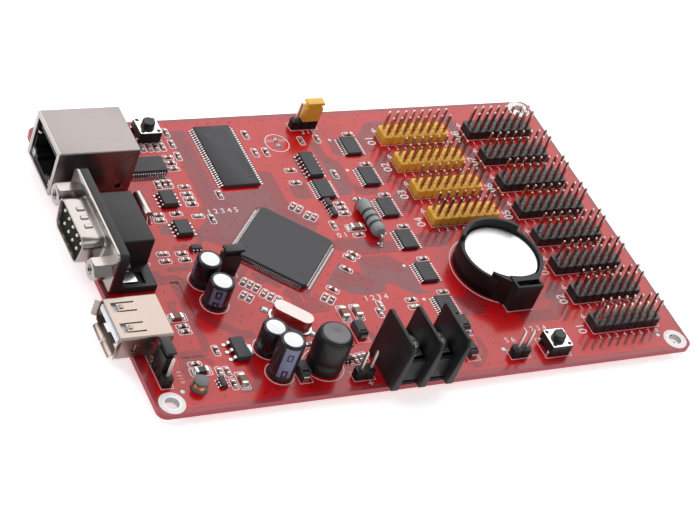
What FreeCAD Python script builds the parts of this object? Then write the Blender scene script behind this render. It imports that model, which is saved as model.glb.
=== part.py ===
import FreeCAD, Part
import os
import re
import Sketcher

# Driver board with pin-header ports, millimetres. +X runs along the long edge, +Y to the back,
# +Z up from the underside of the board; the origin is the centre of the four mounting holes.

V = FreeCAD.Vector

SIZES = {
    # board
    "board_length": 150, "board_width": 95.5, "board_thickness": 1.6, "board_corner": 2.5,
    "layout_length": 150, "layout_width": 95.5, "hole_inset_x": 4, "hole_inset_y": 3.25,
    "hole_radius": 1.8, "slot_gap": 0.2, "tail_length": 1.5, "solder_side": 1.5,
    # pin headers
    "pitch": 2.54, "columns": 8, "port_count": 8, "aux_count": 4, "housing_height": 2.5,
    "pin_side": 0.64, "pin_top": 8.4, "port_x": 58.43, "aux_x": 31.23, "port_middle": -0.33,
    "port_step": 10.4,
    # network jack
    "sheet": 0.3, "jack_length": 21, "jack_width": 16, "jack_height": 13.4, "jack_overhang": 2.45,
    "jack_y": 31.2, "jack_fit": 0.1, "jack_recess": 0.5, "mouth_width": 11.8, "mouth_height": 6.8,
    "mouth_bottom": 3.6, "mouth_depth": 13, "latch_width": 6.2, "latch_height": 1.8,
    "light_width": 2.4, "light_height": 2.2, "light_depth": 12, "peg_radius": 1.6,
    "peg_inset": 6, "peg_spread": 5.7, "tab_width": 1.6, "tab_from_front": 9, "wire_count": 8,
    "wire_pitch": 1.02, "wire_side": 0.36, "wire_start": 3, "wire_reach": 6.5, "wire_drop": 4,
    "window_inset": 3.4, "window_rise": 1.2, "window_side": 1.5, "light_rise": 0.6,
    "light_inset": 0.4,
    # serial connector
    "serial_y": 4.8, "serial_inset": 0.7, "flange_width": 30.8, "flange_height": 12.5,
    "flange_sheet": 0.5, "dee_width": 16.9, "dee_height": 8.4, "dee_taper": 1.45, "dee_depth": 6,
    "dee_wall": 0.45, "dee_round": 2.2, "dee_lift": 6.3, "bar_depth": 2.4, "block_width": 16.9,
    "block_depth": 9.4, "block_height": 10, "foot_height": 2, "contact_radius": 0.5,
    "contact_length": 5.2, "contact_pitch": 2.77, "contact_row": 2.84, "nut_spread": 25,
    "nut_across": 4.8, "nut_length": 4.9, "clip_width": 3.2, "clip_sheet": 0.5,
    "clip_reach": 4.6, "clip_rise": 5.5,
    # usb socket
    "usb_y": -23.65, "usb_width": 13.1, "usb_height": 6.7, "usb_length": 13, "usb_overhang": 4.6,
    "lip_length": 1.2, "lip_flare": 0.8, "lip_inset": 1.5, "wing_inset": 1, "finger_start": 1.4,
    "finger_length": 5.5, "finger_width": 2.6, "finger_gap": 0.4, "finger_spread": 3.2,
    "tongue_width": 11.1, "tongue_thick": 1.84,
    "tongue_drop": 0.6, "tongue_set": 0.4, "tongue_base": 2.6, "pad_start": 1.2, "pad_pitch": 2.3,
    "pad_width": 1, "pad_thick": 0.2, "pad_length": 7, "tab_shift": 2,
    # barrier terminal block
    "terminal_x": -7.9, "terminal_overhang": 2.25, "terminal_depth": 13.6, "terminal_pitch": 7.62,
    "wall_base": 2, "wall_top": 0.9, "wall_height": 15, "pole_height": 7, "pole_set": 5,
    "shelf_height": 5.2, "shelf_set": 2.4, "ridge_height": 7.6, "ridge_depth": 1,
    "well_width": 4.2, "well_depth": 5.6, "screw_from_back": 6.9,
    "plate_thick": 0.6, "plate_width": 4.8, "plate_margin": 0.8, "plate_lip": 1.2,
    "post_width": 1.2, "post_thick": 0.8, "clamp_width": 5.2, "clamp_depth": 5.6,
    "clamp_thick": 0.6, "screw_radius": 1.5, "screw_fit": 0.05, "screw_shank": 6,
    "head_radius": 2.6, "head_height": 2.2, "driver_slot": 0.8, "driver_depth": 1,
    # coin cell and its holder
    "cell_x": 31.0, "cell_y": -14.6, "cell_radius": 10, "cell_thick": 3.2,
    "cell_fit": 0.3, "cup_wall": 0.9, "cup_height": 6.4, "cup_floor": 2.2,
    "front_height": 8.2, "front_left": 7.2, "front_right": 4.2, "front_reach": 11.9,
    "front_root": 5, "front_chamfer": 3.6, "box_left": 3.5, "box_reach": 14.2, "box_wall": 0.6,
    "rim_height": 8, "rim_start": 40, "rim_sweep": 110, "blade_width": 3, "blade_thick": 0.25,
    "blade_length": 15.6, "blade_rise": 4.7, "blade_set": 0.2,
    # push buttons
    "button_side": 6, "button_case": 3.3, "button_plate": 0.25, "button_well": 4.8,
    "button_floor": 1, "plunger_radius": 1.7, "plunger_flange": 4.3, "plunger_flange_thick": 1.9,
    "plunger_top": 5, "plunger_gap": 0.08, "plunger_set": 0.02, "dome_radius": 2, "dome_thick": 0.1,
    "leg_spread_x": 6.5, "leg_spread_y": 4.5, "leg_width": 0.7, "leg_thick": 0.3, "leg_rise": 1.2,
    "back_button_x": -44.9, "back_button_y": 42.4, "front_button_x": 34.1, "front_button_y": -42.1,
    # jumpers and small headers
    "cap_length": 5, "cap_width": 2.4, "cap_height": 6.2, "cap_wall": 0.6, "cap_roof": 0.3,
    "cap_groove": 0.4, "groove_width": 1, "groove_drop": 1.7, "cap_seat": 0.05,
    "left_jumper_x": -70.5, "left_jumper_y": -36.2, "back_jumper_x": 0.6, "back_jumper_y": 42.6,
    "middle_jumper_x": -42.6, "middle_jumper_y": -7.1, "spare_left_x": -21.5,
    "spare_left_y": -43.5, "spare_right_x": 23.2, "spare_right_y": -42.9,
    # chips with leads
    "chip_lift": 0.1,
    "cpu_x": -24.4, "cpu_y": -1, "cpu_side": 20, "cpu_height": 1.5, "cpu_span": 22,
    "cpu_row": 17.7, "cpu_chamfer": 0.8,
    "memory_x": -26.1, "memory_y": 32.5, "memory_width": 10.16, "memory_length": 22.2,
    "memory_height": 1.1, "memory_span": 12.6, "memory_row": 21.1,
    "buffer_x": 11, "buffer_y": -25.2, "buffer_step": 11.74, "buffer_count": 6,
    "buffer_width": 4.4, "buffer_length": 6.5, "buffer_height": 1.05, "buffer_span": 6.8,
    "buffer_row": 6.1,
    "wide_gap": 1.9, "wide_y": 30.4, "wide_width": 5.3, "wide_length": 10.2, "wide_height": 1.75,
    "wide_span": 7.8, "wide_row": 8.7,
    "logic_x": -4.0, "logic_y": 27.1, "logic_length": 8.7, "driver_y": 18.3, "amp_x": -47.8,
    "amp_back_y": 18.6, "amp_front_y": 8.3, "amp_length": 4.9, "narrow_width": 3.9,
    "narrow_height": 1.5, "narrow_span": 6.1, "narrow_margin": 0.7,
    "regulator_x": -49.1, "regulator_y": -31.8, "regulator_width": 3.5, "regulator_length": 6.5,
    "regulator_height": 1.7, "regulator_span": 7, "regulator_pitch": 2.3,
    "regulator_lead": 0.75, "sot_width": 1.6, "sot_length": 2.9, "sot_height": 1.1, "sot_span": 2.9,
    "sot_row": 2.3,
    # round parts
    "can_radius": 3.15, "can_height": 7.6, "tall_can_height": 11.6,
    "drum_x": -30, "drum_y": -38.9, "drum_radius": 4.5, "drum_height": 11.2, "coil_x": -62.9,
    "coil_y": -41, "coil_radius": 2.1, "coil_height": 2.6, "coil_flange": 0.6,
    "coil_waist": 1.5, "coil_step": 0.3, "crystal_x": -32.7, "crystal_y": -24.8,
    "crystal_length": 10.2, "crystal_width": 3.8, "crystal_height": 3.9, "crystal_rim": 0.45,
    "crystal_rim_thick": 0.5, "clock_x": -55.5, "clock_y": 16.6, "clock_radius": 1.3,
    "clock_length": 8, "resistor_x": 3.5, "resistor_y": 5.5, "resistor_radius": 1.9,
    "resistor_length": 11.8, "wire_radius": 0.35, "resistor_reach": 15.5,
    # chip resistors, chip capacitors and diodes
    "small_length": 1.6, "small_width": 0.8, "small_height": 0.6, "large_length": 3.2,
    "large_width": 1.6, "large_height": 1.1, "diode_length": 4.4, "diode_width": 2.6,
    "diode_height": 2.1, "diode_terminal": 0.5, "diode_terminal_width": 1.5,
}

# Chip parts as (x, y, turn in degrees): small ones stand alone or in short rows.
SMALL_CHIPS = [
    (-47.2, 13.9, 0),
    (-41.8, 12.5, 0), (-52.1, 13.9, 0), (-52.2, 12, 0), (-55.8, 0.9, 0), (-56.1, -1.6, 0),
    (-51, 0.5, 0), (-50.9, -1.6, 0), (-59.8, -22.5, 0), (-59.8, -24.2, 0), (-54.6, -30.8, 90),
    (-61.3, -34.1, 0), (-56.3, -37.3, 90), (-54.4, -37.4, 90), (-54.3, -41.3, 90),
    (-71.3, -31.4, 90), (-16.8, -15.8, -45), (-20, -18, 45), (-18.7, -19.2, 45),
    (-10.1, -9.6, -45), (-7.5, -5.8, -45), (-5.8, -4.9, -45), (-15, 13.4, 45), (-13.8, 12.2, 45),
    (-12.3, 9.9, 45), (-10.9, 8.9, 45), (-10, 26.3, 0), (-10.6, 21.7, 0), (-17.1, 40.5, 90),
    (-17.1, 33.6, 90), (-14, 33.6, 90),
    (-33.2, 19.4, 90), (-38.5, 11.2, 90), (-2.1, 37, 90), (2.8, 37.4, 90), (2, 23.8, 90),
    (-6.8, 5.6, 90), (-1.2, 1.6, 0), (-6.5, -22.5, 90), (-7.8, -24.8, 90), (2.7, -21.8, 0),
    (2.4, -24.2, 0), (-21.1, -38.4, 90), (-19.7, -38.2, 90), (-18.4, -38, 90), (-30.9, -32.3, 0),
]
# Rows of small chips as (first x, first y, step x, step y, count, turn).
CHIP_ROWS = [
    (-41.8, 20.4, 0, -1.8, 3, 0),
    (-38.9, -10.5, 1.2, -1.2, 3, 45), (-40.8, -14.7, 1.2, -1.2, 2, 45),
    (-35.3, -14.8, 1.3, -1.3, 3, 45), (-1.7, 13, 0, -1.75, 3, 0), (12.7, -20.3, 0, 11.74, 6, 0),
]
# Behind the network jack x is counted from the back of its shield.
JACK_CHIPS = [
    (8.3, 24.3, 90), (10, 24.5, 90), (11.5, 24.5, 90), (15, 23, 0), (17.6, 42.9, 90),
    (17.6, 38.6, 90), (17.6, 34, 90),
]
JACK_ROWS = [(9.1, 37.8, 1.87, 0, 4, 90), (14.6, 33.8, 0, -2.1, 3, 0)]
LARGE_CHIPS = [
    (-60.4, -19.7, 0), (-60.7, -36.5, 0), (-51.8, -40.6, 90),
    (-17.5, -23.9, 90), (-13.8, -23.9, 90), (-1, 4.2, 0),
]
DIODES = [(-36.4, -40.2, 90), (-16.2, -30, 90), (12.1, -31.8, 90), (10.2, -39.8, 90)]
CANS = [(-49.3, -8.9, "can_height"), (-49, -16.2, "can_height"), (-41.8, -32, "can_height"),
        (-41.9, -39.8, "tall_can_height")]
SOTS = [(-57.1, -40.7, 0), (-23.6, -38.3, 90), (-5, 13.2, 0), (-5, 9.9, 0), (-46.9, 1.6, 90)]

doc = FreeCAD.newDocument("DriverBoard")
dims = doc.addObject("Spreadsheet::Sheet", "Dims")
for row, (alias, value) in enumerate(SIZES.items(), start=1):
    dims.set(f"A{row}", alias)
    dims.set(f"B{row}", str(value))
    dims.setAlias(f"B{row}", alias)
doc.recompute()

NODES = []


def size(alias):
    """The value of one cell of the sheet."""
    return float(dims.get(alias))


def cells(text):
    """Write the aliases in an expression as cells of the sheet."""
    return re.sub(r"[a-z_]+", lambda word: ("Dims." if word.group() in SIZES else "") + word.group(), text)


def bind(item, prop, text):
    item.setExpression(prop, cells(text))


def place(item, x="0", y="0", z="board_thickness", turn=None, axis=V(0, 0, 1)):
    """Put an object at a place given by expressions, turned about an axis."""
    if turn is not None:
        item.Placement.Rotation = FreeCAD.Rotation(axis, turn)
    for letter, text in (("x", x), ("y", y), ("z", z)):
        bind(item, f"Placement.Base.{letter}", str(text))
    return item


def across(x):
    """A place along the board, which keeps its share of the board's length."""
    return f"(({x}) * board_length / layout_length)"


def along(y):
    """A place across the board, which keeps its share of the board's width."""
    return f"(({y}) * board_width / layout_width)"


def node(item, label):
    """Register an object as a sub-part with its own name."""
    item.Label = label
    NODES.append(item)
    return item


def box(name, x, y, z, length, width, height):
    """A box centred on x and y that stands on z."""
    item = doc.addObject("Part::Box", name)
    bind(item, "Length", length)
    bind(item, "Width", width)
    bind(item, "Height", height)
    return place(item, f"{x} - ({length}) / 2", f"{y} - ({width}) / 2", z)


def rod(name, x, y, z, radius, height, way="z"):
    """A cylinder that starts at a point and runs along +Z, +X or +Y."""
    item = doc.addObject("Part::Cylinder", name)
    bind(item, "Radius", radius)
    bind(item, "Height", height)
    turns = {"z": (0, V(0, 0, 1)), "x": (90, V(0, 1, 0)), "y": (-90, V(1, 0, 0))}
    return place(item, x, y, z, *turns[way])


def prism(name, sides, x, y, z, radius, height, way="z"):
    """A regular prism that starts at a point and runs along +Z or +X."""
    item = doc.addObject("Part::Prism", name)
    item.Polygon = sides
    bind(item, "Circumradius", radius)
    bind(item, "Height", height)
    turns = {"z": (0, V(0, 0, 1)), "x": (90, V(0, 1, 0))}
    return place(item, x, y, z, *turns[way])


def fuse(name, *items):
    item = doc.addObject("Part::MultiFuse", name)
    item.Shapes = list(items)
    return item


def group(name, *items):
    item = doc.addObject("Part::Compound", name)
    item.Links = list(items)
    return item


def cut(name, base, *tools):
    item = doc.addObject("Part::Cut", name)
    item.Base = base
    item.Tool = tools[0] if len(tools) == 1 else fuse(name + "Tools", *tools)
    return item


def polygon(sketch, points):
    """Draw a closed outline whose corners are tied to expressions."""
    count = len(points)
    first = sketch.GeometryCount
    ring = Part.Circle(V(0, 0, 0), V(0, 0, 1), count).discretize(Number=count + 1)[:count]
    sketch.addGeometry([Part.LineSegment(ring[i], ring[(i + 1) % count]) for i in range(count)], False)
    rules = [Sketcher.Constraint("Coincident", first + i, 2, first + (i + 1) % count, 1)
             for i in range(count)]
    for i, corner in enumerate(ring):
        rules.append(Sketcher.Constraint("DistanceX", -1, 1, first + i, 1, corner.x))
        rules.append(Sketcher.Constraint("DistanceY", -1, 1, first + i, 1, corner.y))
    start = sketch.ConstraintCount + count
    sketch.addConstraint(rules)
    for i, (x, y) in enumerate(points):
        bind(sketch, f"Constraints[{start + 2 * i}]", x)
        bind(sketch, f"Constraints[{start + 2 * i + 1}]", y)


def rectangle(sketch, x, y, width, height):
    """Draw a rectangle about a centre."""
    low_x, high_x = f"({x}) - ({width}) / 2", f"({x}) + ({width}) / 2"
    low_y, high_y = f"({y}) - ({height}) / 2", f"({y}) + ({height}) / 2"
    polygon(sketch, [(low_x, low_y), (high_x, low_y), (high_x, high_y), (low_x, high_y)])


def circle(sketch, x, y, radius):
    """Draw a circle whose centre and radius are tied to expressions."""
    index = sketch.addGeometry(Part.Circle(V(1, 1, 0), V(0, 0, 1), 1), False)
    start = sketch.ConstraintCount
    sketch.addConstraint([
        Sketcher.Constraint("DistanceX", -1, 1, index, 3, 1.0),
        Sketcher.Constraint("DistanceY", -1, 1, index, 3, 1.0),
        Sketcher.Constraint("Radius", index, 1.0),
    ])
    for offset, text in enumerate((x, y, radius)):
        bind(sketch, f"Constraints[{start + offset}]", text)


def extrude(name, points, height, z="0"):
    """A prism over a free outline, standing on z of its own frame."""
    sketch = doc.addObject("Sketcher::SketchObject", name + "Outline")
    polygon(sketch, points)
    item = doc.addObject("Part::Extrusion", name)
    item.Base = sketch
    item.DirMode = "Custom"
    item.Dir = V(0, 0, 1)
    item.Solid = True
    bind(item, "LengthFwd", height)
    place(sketch, "0", "0", z)
    return item


def side_profile(name, points, x, y, z, width):
    """A prism whose outline is drawn in X and Z and which is centred on y."""
    item = extrude(name, points, width)
    return place(item, x, f"{y} + ({width}) / 2", z, 90, V(1, 0, 0))


def new_body(name):
    return doc.addObject("PartDesign::Body", name)


def body_sketch(body, name, role="XY_Plane", offset=None):
    """A sketch on one of the body's own origin planes."""
    sketch = body.newObject("Sketcher::SketchObject", name)
    plane = [item for item in body.Origin.OriginFeatures if item.Role == role][0]
    sketch.AttachmentSupport = [(plane, "")]
    sketch.MapMode = "FlatFace"
    if offset is not None:
        bind(sketch, "AttachmentOffset.Base.z", offset)
    return sketch


def pad(body, name, sketch, length, mirrored=False):
    item = body.newObject("PartDesign::Pad", name)
    item.Profile = sketch
    item.Midplane = mirrored
    bind(item, "Length", length)
    return item


def pocket(body, name, sketch, length=None, reverse=False):
    """Cut a sketch out of the body, through everything unless a length is given."""
    item = body.newObject("PartDesign::Pocket", name)
    item.Profile = sketch
    item.Reversed = reverse
    if length is None:
        item.Type = "ThroughAll"
        item.Midplane = True
    else:
        bind(item, "Length", length)
    return item


def repeat(body, name, feature, sketch, axis, length, count):
    """Repeat a feature along one axis of a sketch."""
    item = body.newObject("PartDesign::LinearPattern", name)
    item.Originals = [feature]
    item.Direction = (sketch, [axis])
    bind(item, "Length", length)
    bind(item, "Occurrences", count)
    body.Tip = item
    return item


def circuit_board():
    """The laminate with its mounting holes and the holes for large pegs, tabs and posts."""
    board = new_body("Board")
    outline = body_sketch(board, "BoardOutline")
    rectangle(outline, "0", "0", "board_length", "board_width")
    slab = pad(board, "Laminate", outline, "board_thickness")
    doc.recompute()
    corners = [f"Edge{i}" for i, edge in enumerate(slab.Shape.Edges, start=1)
               if abs(edge.tangentAt(edge.FirstParameter).z) > 0.9]
    rounding = board.newObject("PartDesign::Fillet", "BoardCorners")
    rounding.Base = (slab, corners)
    bind(rounding, "Radius", "board_corner")
    holes = body_sketch(board, "MountingHoles")
    for side in ("", "-"):
        for end in ("", "-"):
            circle(holes, f"{side}(board_length / 2 - hole_inset_x)",
                   f"{end}(board_width / 2 - hole_inset_y)", "hole_radius")
    for side in ("+", "-"):
        circle(holes, JACK_PEG_X, f"{JACK_Y} {side} peg_spread", "peg_radius + slot_gap")
    pocket(board, "BoardHoles", holes)
    slots = body_sketch(board, "TabSlots")
    for side in ("+", "-"):
        rectangle(slots, JACK_TAB_X, f"{JACK_Y} {side} (jack_width - sheet) / 2", "tab_width + 2 * slot_gap",
                  "sheet + 2 * slot_gap")
        rectangle(slots, f"{TERMINAL_X} {side} terminal_pitch / 2", POST_Y, "post_width + 2 * slot_gap",
                  "post_thick + 2 * slot_gap")
        rectangle(slots, CLIP_PIN_X, f"{SERIAL_Y} {side} nut_spread / 2", "clip_sheet + 2 * slot_gap",
                  "clip_width / 2 + 2 * slot_gap")
        rectangle(slots, USB_TAB_X, f"{USB_Y} {side} (usb_width - sheet) / 2", "tab_width + 2 * slot_gap",
                  "sheet + 2 * slot_gap")
        rectangle(slots, across("resistor_x"), f"{along('resistor_y')} {side} {RESISTOR_END}",
                  "2 * wire_radius + 2 * slot_gap", "2 * wire_radius + 2 * slot_gap")
        for where in ("back", "front"):
            for end in ("+", "-"):
                rectangle(slots, f"{across(where + '_button_x')} {end} leg_spread_x / 2",
                          f"{along(where + '_button_y')} {side} leg_spread_y / 2", "leg_thick + 2 * slot_gap",
                          "leg_width + 2 * slot_gap")
    pocket(board, "BoardSlots", slots)
    node(board, "circuit_board")


BOARD_LEFT = "-board_length / 2"
JACK_FRONT = f"({BOARD_LEFT} - jack_overhang)"
JACK_BACK = f"({JACK_FRONT} + jack_length)"
JACK_Y = along("jack_y")
SERIAL_Y = along("serial_y")
SERIAL_X = f"({BOARD_LEFT} + serial_inset)"
USB_Y = along("usb_y")
TERMINAL_X = across("terminal_x")
TERMINAL_FRONT = "(-board_width / 2 - terminal_overhang)"
TERMINAL_BACK = f"({TERMINAL_FRONT} + terminal_depth)"
SCREW_Y = f"({TERMINAL_BACK} - screw_from_back)"
JACK_PEG_X = f"{JACK_BACK} - peg_inset"
JACK_TAB_X = f"{JACK_FRONT} + tab_from_front"
USB_FRONT = f"({BOARD_LEFT} - usb_overhang)"
USB_TAB_X = f"{USB_FRONT} + usb_length / 2 + tab_shift"
POST_Y = f"{SCREW_Y} + well_depth / 2 - post_thick / 2"
BAR_BACK = f"({SERIAL_X} + flange_sheet + bar_depth)"
CLIP_PIN_X = f"{BAR_BACK} + clip_reach - clip_sheet / 2"
TAIL = "board_thickness + tail_length"
RESISTOR_END = "(resistor_reach / 2 - wire_radius)"


def header(name, columns, rows, x, y, turn=None):
    """A moulded strip with its square pins moulded in."""
    body = new_body(name)
    outline = body_sketch(body, name + "Outline")
    rectangle(outline, "0", "0", f"{columns} * pitch", f"{rows} * pitch")
    pad(body, name + "Housing", outline, "housing_height")
    squares = body_sketch(body, name + "Squares")
    for row in range(rows):
        rectangle(squares, f"(1 - {columns}) / 2 * pitch", f"({row} - ({rows} - 1) / 2) * pitch",
                  "pin_side", "pin_side")
    pin = pad(body, name + "Pin", squares, "pin_top")
    repeat(body, name + "Pins", pin, squares, "H_Axis", f"({columns} - 1) * pitch", columns)
    return place(body, x, y, turn=turn)


def port_places():
    """The centre of every port as a pair of expressions, counted from the front and then from the back."""
    rows = [f"{along('port_middle')} + ({index} - (port_count - 1) / 2) * port_step"
            for index in range(int(size("port_count")))]
    aux_rows = rows[::-1][:int(size("aux_count"))]
    return [(across("port_x"), y) for y in rows], [(across("aux_x"), y) for y in aux_rows]


def pin_headers():
    """Eight ports along the right edge, four auxiliary ports beside the back four."""
    for kind, places in zip(("port", "aux"), port_places()):
        for index, (x, y) in enumerate(places, start=1):
            node(header(f"{kind.capitalize()}{index}", "columns", 2, x, y), f"{kind}_header_{index}")


def pyramid(x, y, side, height):
    """A solder fillet with its pin tail: a square pyramid that hangs below z = 0."""
    half = side / 2
    base = [V(x - half, y - half, 0), V(x + half, y - half, 0), V(x + half, y + half, 0),
            V(x - half, y + half, 0)]
    tip = V(x, y, -height)
    faces = [Part.Face(Part.makePolygon(base + base[:1]))]
    for i in range(4):
        faces.append(Part.Face(Part.makePolygon([base[i], base[(i + 1) % 4], tip, base[i]])))
    return Part.Solid(Part.Shell(faces))


def header_tails():
    """The soldered ends of all port pins under the board, one set of tails per port."""
    pitch, columns = size("pitch"), int(size("columns"))
    tails = [pyramid((column - (columns - 1) / 2) * pitch, row * pitch, size("solder_side"),
                     size("tail_length")) for column in range(columns) for row in (-0.5, 0.5)]
    ports, aux = port_places()
    sets = []
    for index, (x, y) in enumerate(ports + aux, start=1):
        item = doc.addObject("Part::Feature", f"Tails{index}")
        item.Shape = Part.makeCompound(tails)
        sets.append(place(item, x, y, "0"))
    node(group("HeaderTails", *sets), "header_tails")


def network_jack():
    """A shielded jack: folded sheet, moulded insert, spring wires and two light pipes."""
    centre = f"{JACK_FRONT} + jack_length / 2"
    shell = box("JackOuter", centre, JACK_Y, "board_thickness", "jack_length", "jack_width", "jack_height")
    hollow = box("JackInner", f"{centre} - sheet", JACK_Y, "0", "jack_length", "jack_width - 2 * sheet",
                 "board_thickness + jack_height - sheet")
    window = box("JackWindow", f"{JACK_BACK} - window_inset", JACK_Y, "board_thickness + window_rise",
                 "window_side", "2 * jack_width", "window_side")
    tabs = [box(f"JackTab{side}", JACK_TAB_X, f"{JACK_Y} {sign} (jack_width - sheet) / 2", "-tail_length",
                "tab_width", "sheet", f"{TAIL} + 1") for side, sign in (("Back", "+"), ("Front", "-"))]
    node(fuse("JackShield", cut("JackShell", shell, hollow, window), *tabs), "network_jack_shield")
    block_length = "(jack_length - jack_recess - sheet - jack_fit)"
    block_width = "(jack_width - 2 * sheet - 2 * jack_fit)"
    block = box("JackBlock", f"{JACK_FRONT} + jack_recess + {block_length} / 2", JACK_Y, "board_thickness",
                block_length, block_width, "jack_height - sheet - jack_fit")
    mouth_x = f"{JACK_FRONT} + jack_recess + mouth_depth / 2 - 1"
    mouth = box("JackMouth", mouth_x, JACK_Y, "board_thickness + mouth_bottom", "mouth_depth + 2",
                "mouth_width", "mouth_height")
    latch = box("JackLatch", mouth_x, JACK_Y, "board_thickness + mouth_bottom - latch_height",
                "mouth_depth + 2", "latch_width", "latch_height + 1")
    light_y = f"(({block_width} - light_width) / 2 - light_inset)"
    lights = []
    wells = []
    for side, sign in (("Back", "+"), ("Front", "-")):
        lights.append(box(f"Light{side}", f"{JACK_FRONT} + jack_recess + light_depth / 2",
                          f"{JACK_Y} {sign} {light_y}", "board_thickness + light_rise", "light_depth",
                          "light_width", "light_height"))
        wells.append(box(f"LightWell{side}", f"{JACK_FRONT} + jack_recess + light_depth / 2 - 1",
                         f"{JACK_Y} {sign} {light_y}", "board_thickness + light_rise - jack_fit",
                         "light_depth + 2", "light_width + 2 * jack_fit", "light_height + 2 * jack_fit"))
    pegs = [rod(f"JackPeg{side}", JACK_PEG_X, f"{JACK_Y} {sign} peg_spread", "-tail_length", "peg_radius",
                TAIL) for side, sign in (("Back", "+"), ("Front", "-"))]
    insert = fuse("JackInsert", cut("JackHollow", block, mouth, latch, *wells), *pegs)
    node(insert, "network_jack_insert")
    ceiling = "board_thickness + mouth_bottom + mouth_height"
    wires = []
    for index in range(int(size("wire_count"))):
        points = [("0", "0"), ("wire_side", "0"), ("wire_reach + wire_side", "-wire_drop"),
                  ("wire_reach", "-wire_drop")]
        y = f"{JACK_Y} + ({index} - (wire_count - 1) / 2) * wire_pitch"
        wires.append(side_profile(f"JackWire{index + 1}", points, f"{JACK_FRONT} + wire_start", y, ceiling,
                                  "wire_side"))
    node(group("JackWires", *wires), "network_jack_contacts")
    node(group("JackLights", *lights), "network_jack_lights")


def dee(name, depth, grow, x):
    """A D-shaped prism with round corners that runs along -X from x."""
    half, height = f"(dee_width / 2 + {grow})", f"(dee_height / 2 + {grow})"
    item = extrude(name + "Core", [(f"-({half} - dee_taper)", f"-{height}"),
                                   (f"{half} - dee_taper", f"-{height}"), (half, height),
                                   (f"-{half}", height)], depth)
    doc.recompute()
    rounding = doc.addObject("Part::Fillet", name)
    rounding.Base = item
    edges = [i for i, edge in enumerate(item.Shape.Edges, start=1)
             if abs(edge.tangentAt(edge.FirstParameter).z) > 0.9]
    radius = size("dee_round") - (0 if grow == "0" else size("dee_wall"))
    rounding.Edges = [(index, radius, radius) for index in edges]
    turn = FreeCAD.Rotation(V(0, -1, 0), V(0, 0, 1), V(-1, 0, 0))
    rounding.Placement.Rotation = turn
    return place(rounding, x, SERIAL_Y, "board_thickness + dee_lift")


def serial_connector():
    """A nine-pin D connector: plated flange, moulded body, pins, jack nuts and board clips."""
    flange = box("SerialFlange", f"{SERIAL_X} + flange_sheet / 2", SERIAL_Y, "board_thickness",
                 "flange_sheet", "flange_width", "flange_height")
    skirt = dee("SerialSkirt", "dee_depth", "0", f"{SERIAL_X} + sheet")
    inside = dee("SerialInside", "dee_depth + 4", "-dee_wall", f"{SERIAL_X} + flange_sheet + 1")
    node(cut("SerialShell", fuse("SerialPlate", flange, skirt), inside), "serial_shell")
    bar = box("SerialBar", f"{SERIAL_X} + flange_sheet + bar_depth / 2", SERIAL_Y, "board_thickness",
              "bar_depth", "flange_width", "flange_height - 0.3")
    block = box("SerialBlock", f"{BAR_BACK} + block_depth / 2 - 0.05", SERIAL_Y, "board_thickness",
                "block_depth + 0.1", "block_width", "block_height")
    foot = box("SerialFoot", f"{BAR_BACK} + block_depth / 2 - 0.05", SERIAL_Y, "board_thickness",
               "block_depth + 0.1", "flange_width", "foot_height")
    gaps = [box(f"SerialGap{side}", CLIP_PIN_X, f"{SERIAL_Y} {sign} nut_spread / 2", "0",
                "clip_sheet + 2 * slot_gap", "clip_width / 2 + 2 * slot_gap",
                "board_thickness + foot_height + 1") for side, sign in (("Back", "+"), ("Front", "-"))]
    node(cut("SerialBody", fuse("SerialSolid", bar, block, foot), *gaps), "serial_housing")
    pins = []
    for row, count in ((1, 5), (-1, 4)):
        for index in range(count):
            pins.append(prism(f"SerialPin{row + 2}{index}", 8, f"{SERIAL_X} + flange_sheet - contact_length",
                              f"{SERIAL_Y} + ({index} - ({count} - 1) / 2) * contact_pitch",
                              f"board_thickness + dee_lift + {row} * contact_row / 2", "contact_radius",
                              "contact_length", "x"))
    node(group("SerialPins", *pins), "serial_pins")
    nuts = []
    clips = []
    for side, sign in (("Back", "+"), ("Front", "-")):
        y = f"{SERIAL_Y} {sign} nut_spread / 2"
        nuts.append(prism(f"JackNut{side}", 6, f"{SERIAL_X} - nut_length", y, "board_thickness + dee_lift",
                          "nut_across / sqrt(3)", "nut_length", "x"))
        strap = [("0", "clip_rise"), ("clip_sheet", "clip_rise"), ("clip_sheet", "clip_sheet"),
                 ("clip_reach", "clip_sheet"), ("clip_reach", "0"), ("0", "0")]
        clip = side_profile(f"ClipStrap{side}", strap, BAR_BACK, y, "board_thickness + foot_height",
                            "clip_width")
        leg = box(f"ClipLeg{side}", CLIP_PIN_X, y, "-tail_length", "clip_sheet", "clip_width / 2",
                  f"{TAIL} + foot_height + 0.1")
        clips.append(fuse(f"Clip{side}", clip, leg))
    node(group("JackNuts", *nuts), "serial_jack_nuts")
    node(group("Clips", *clips), "serial_board_clips")


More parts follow.
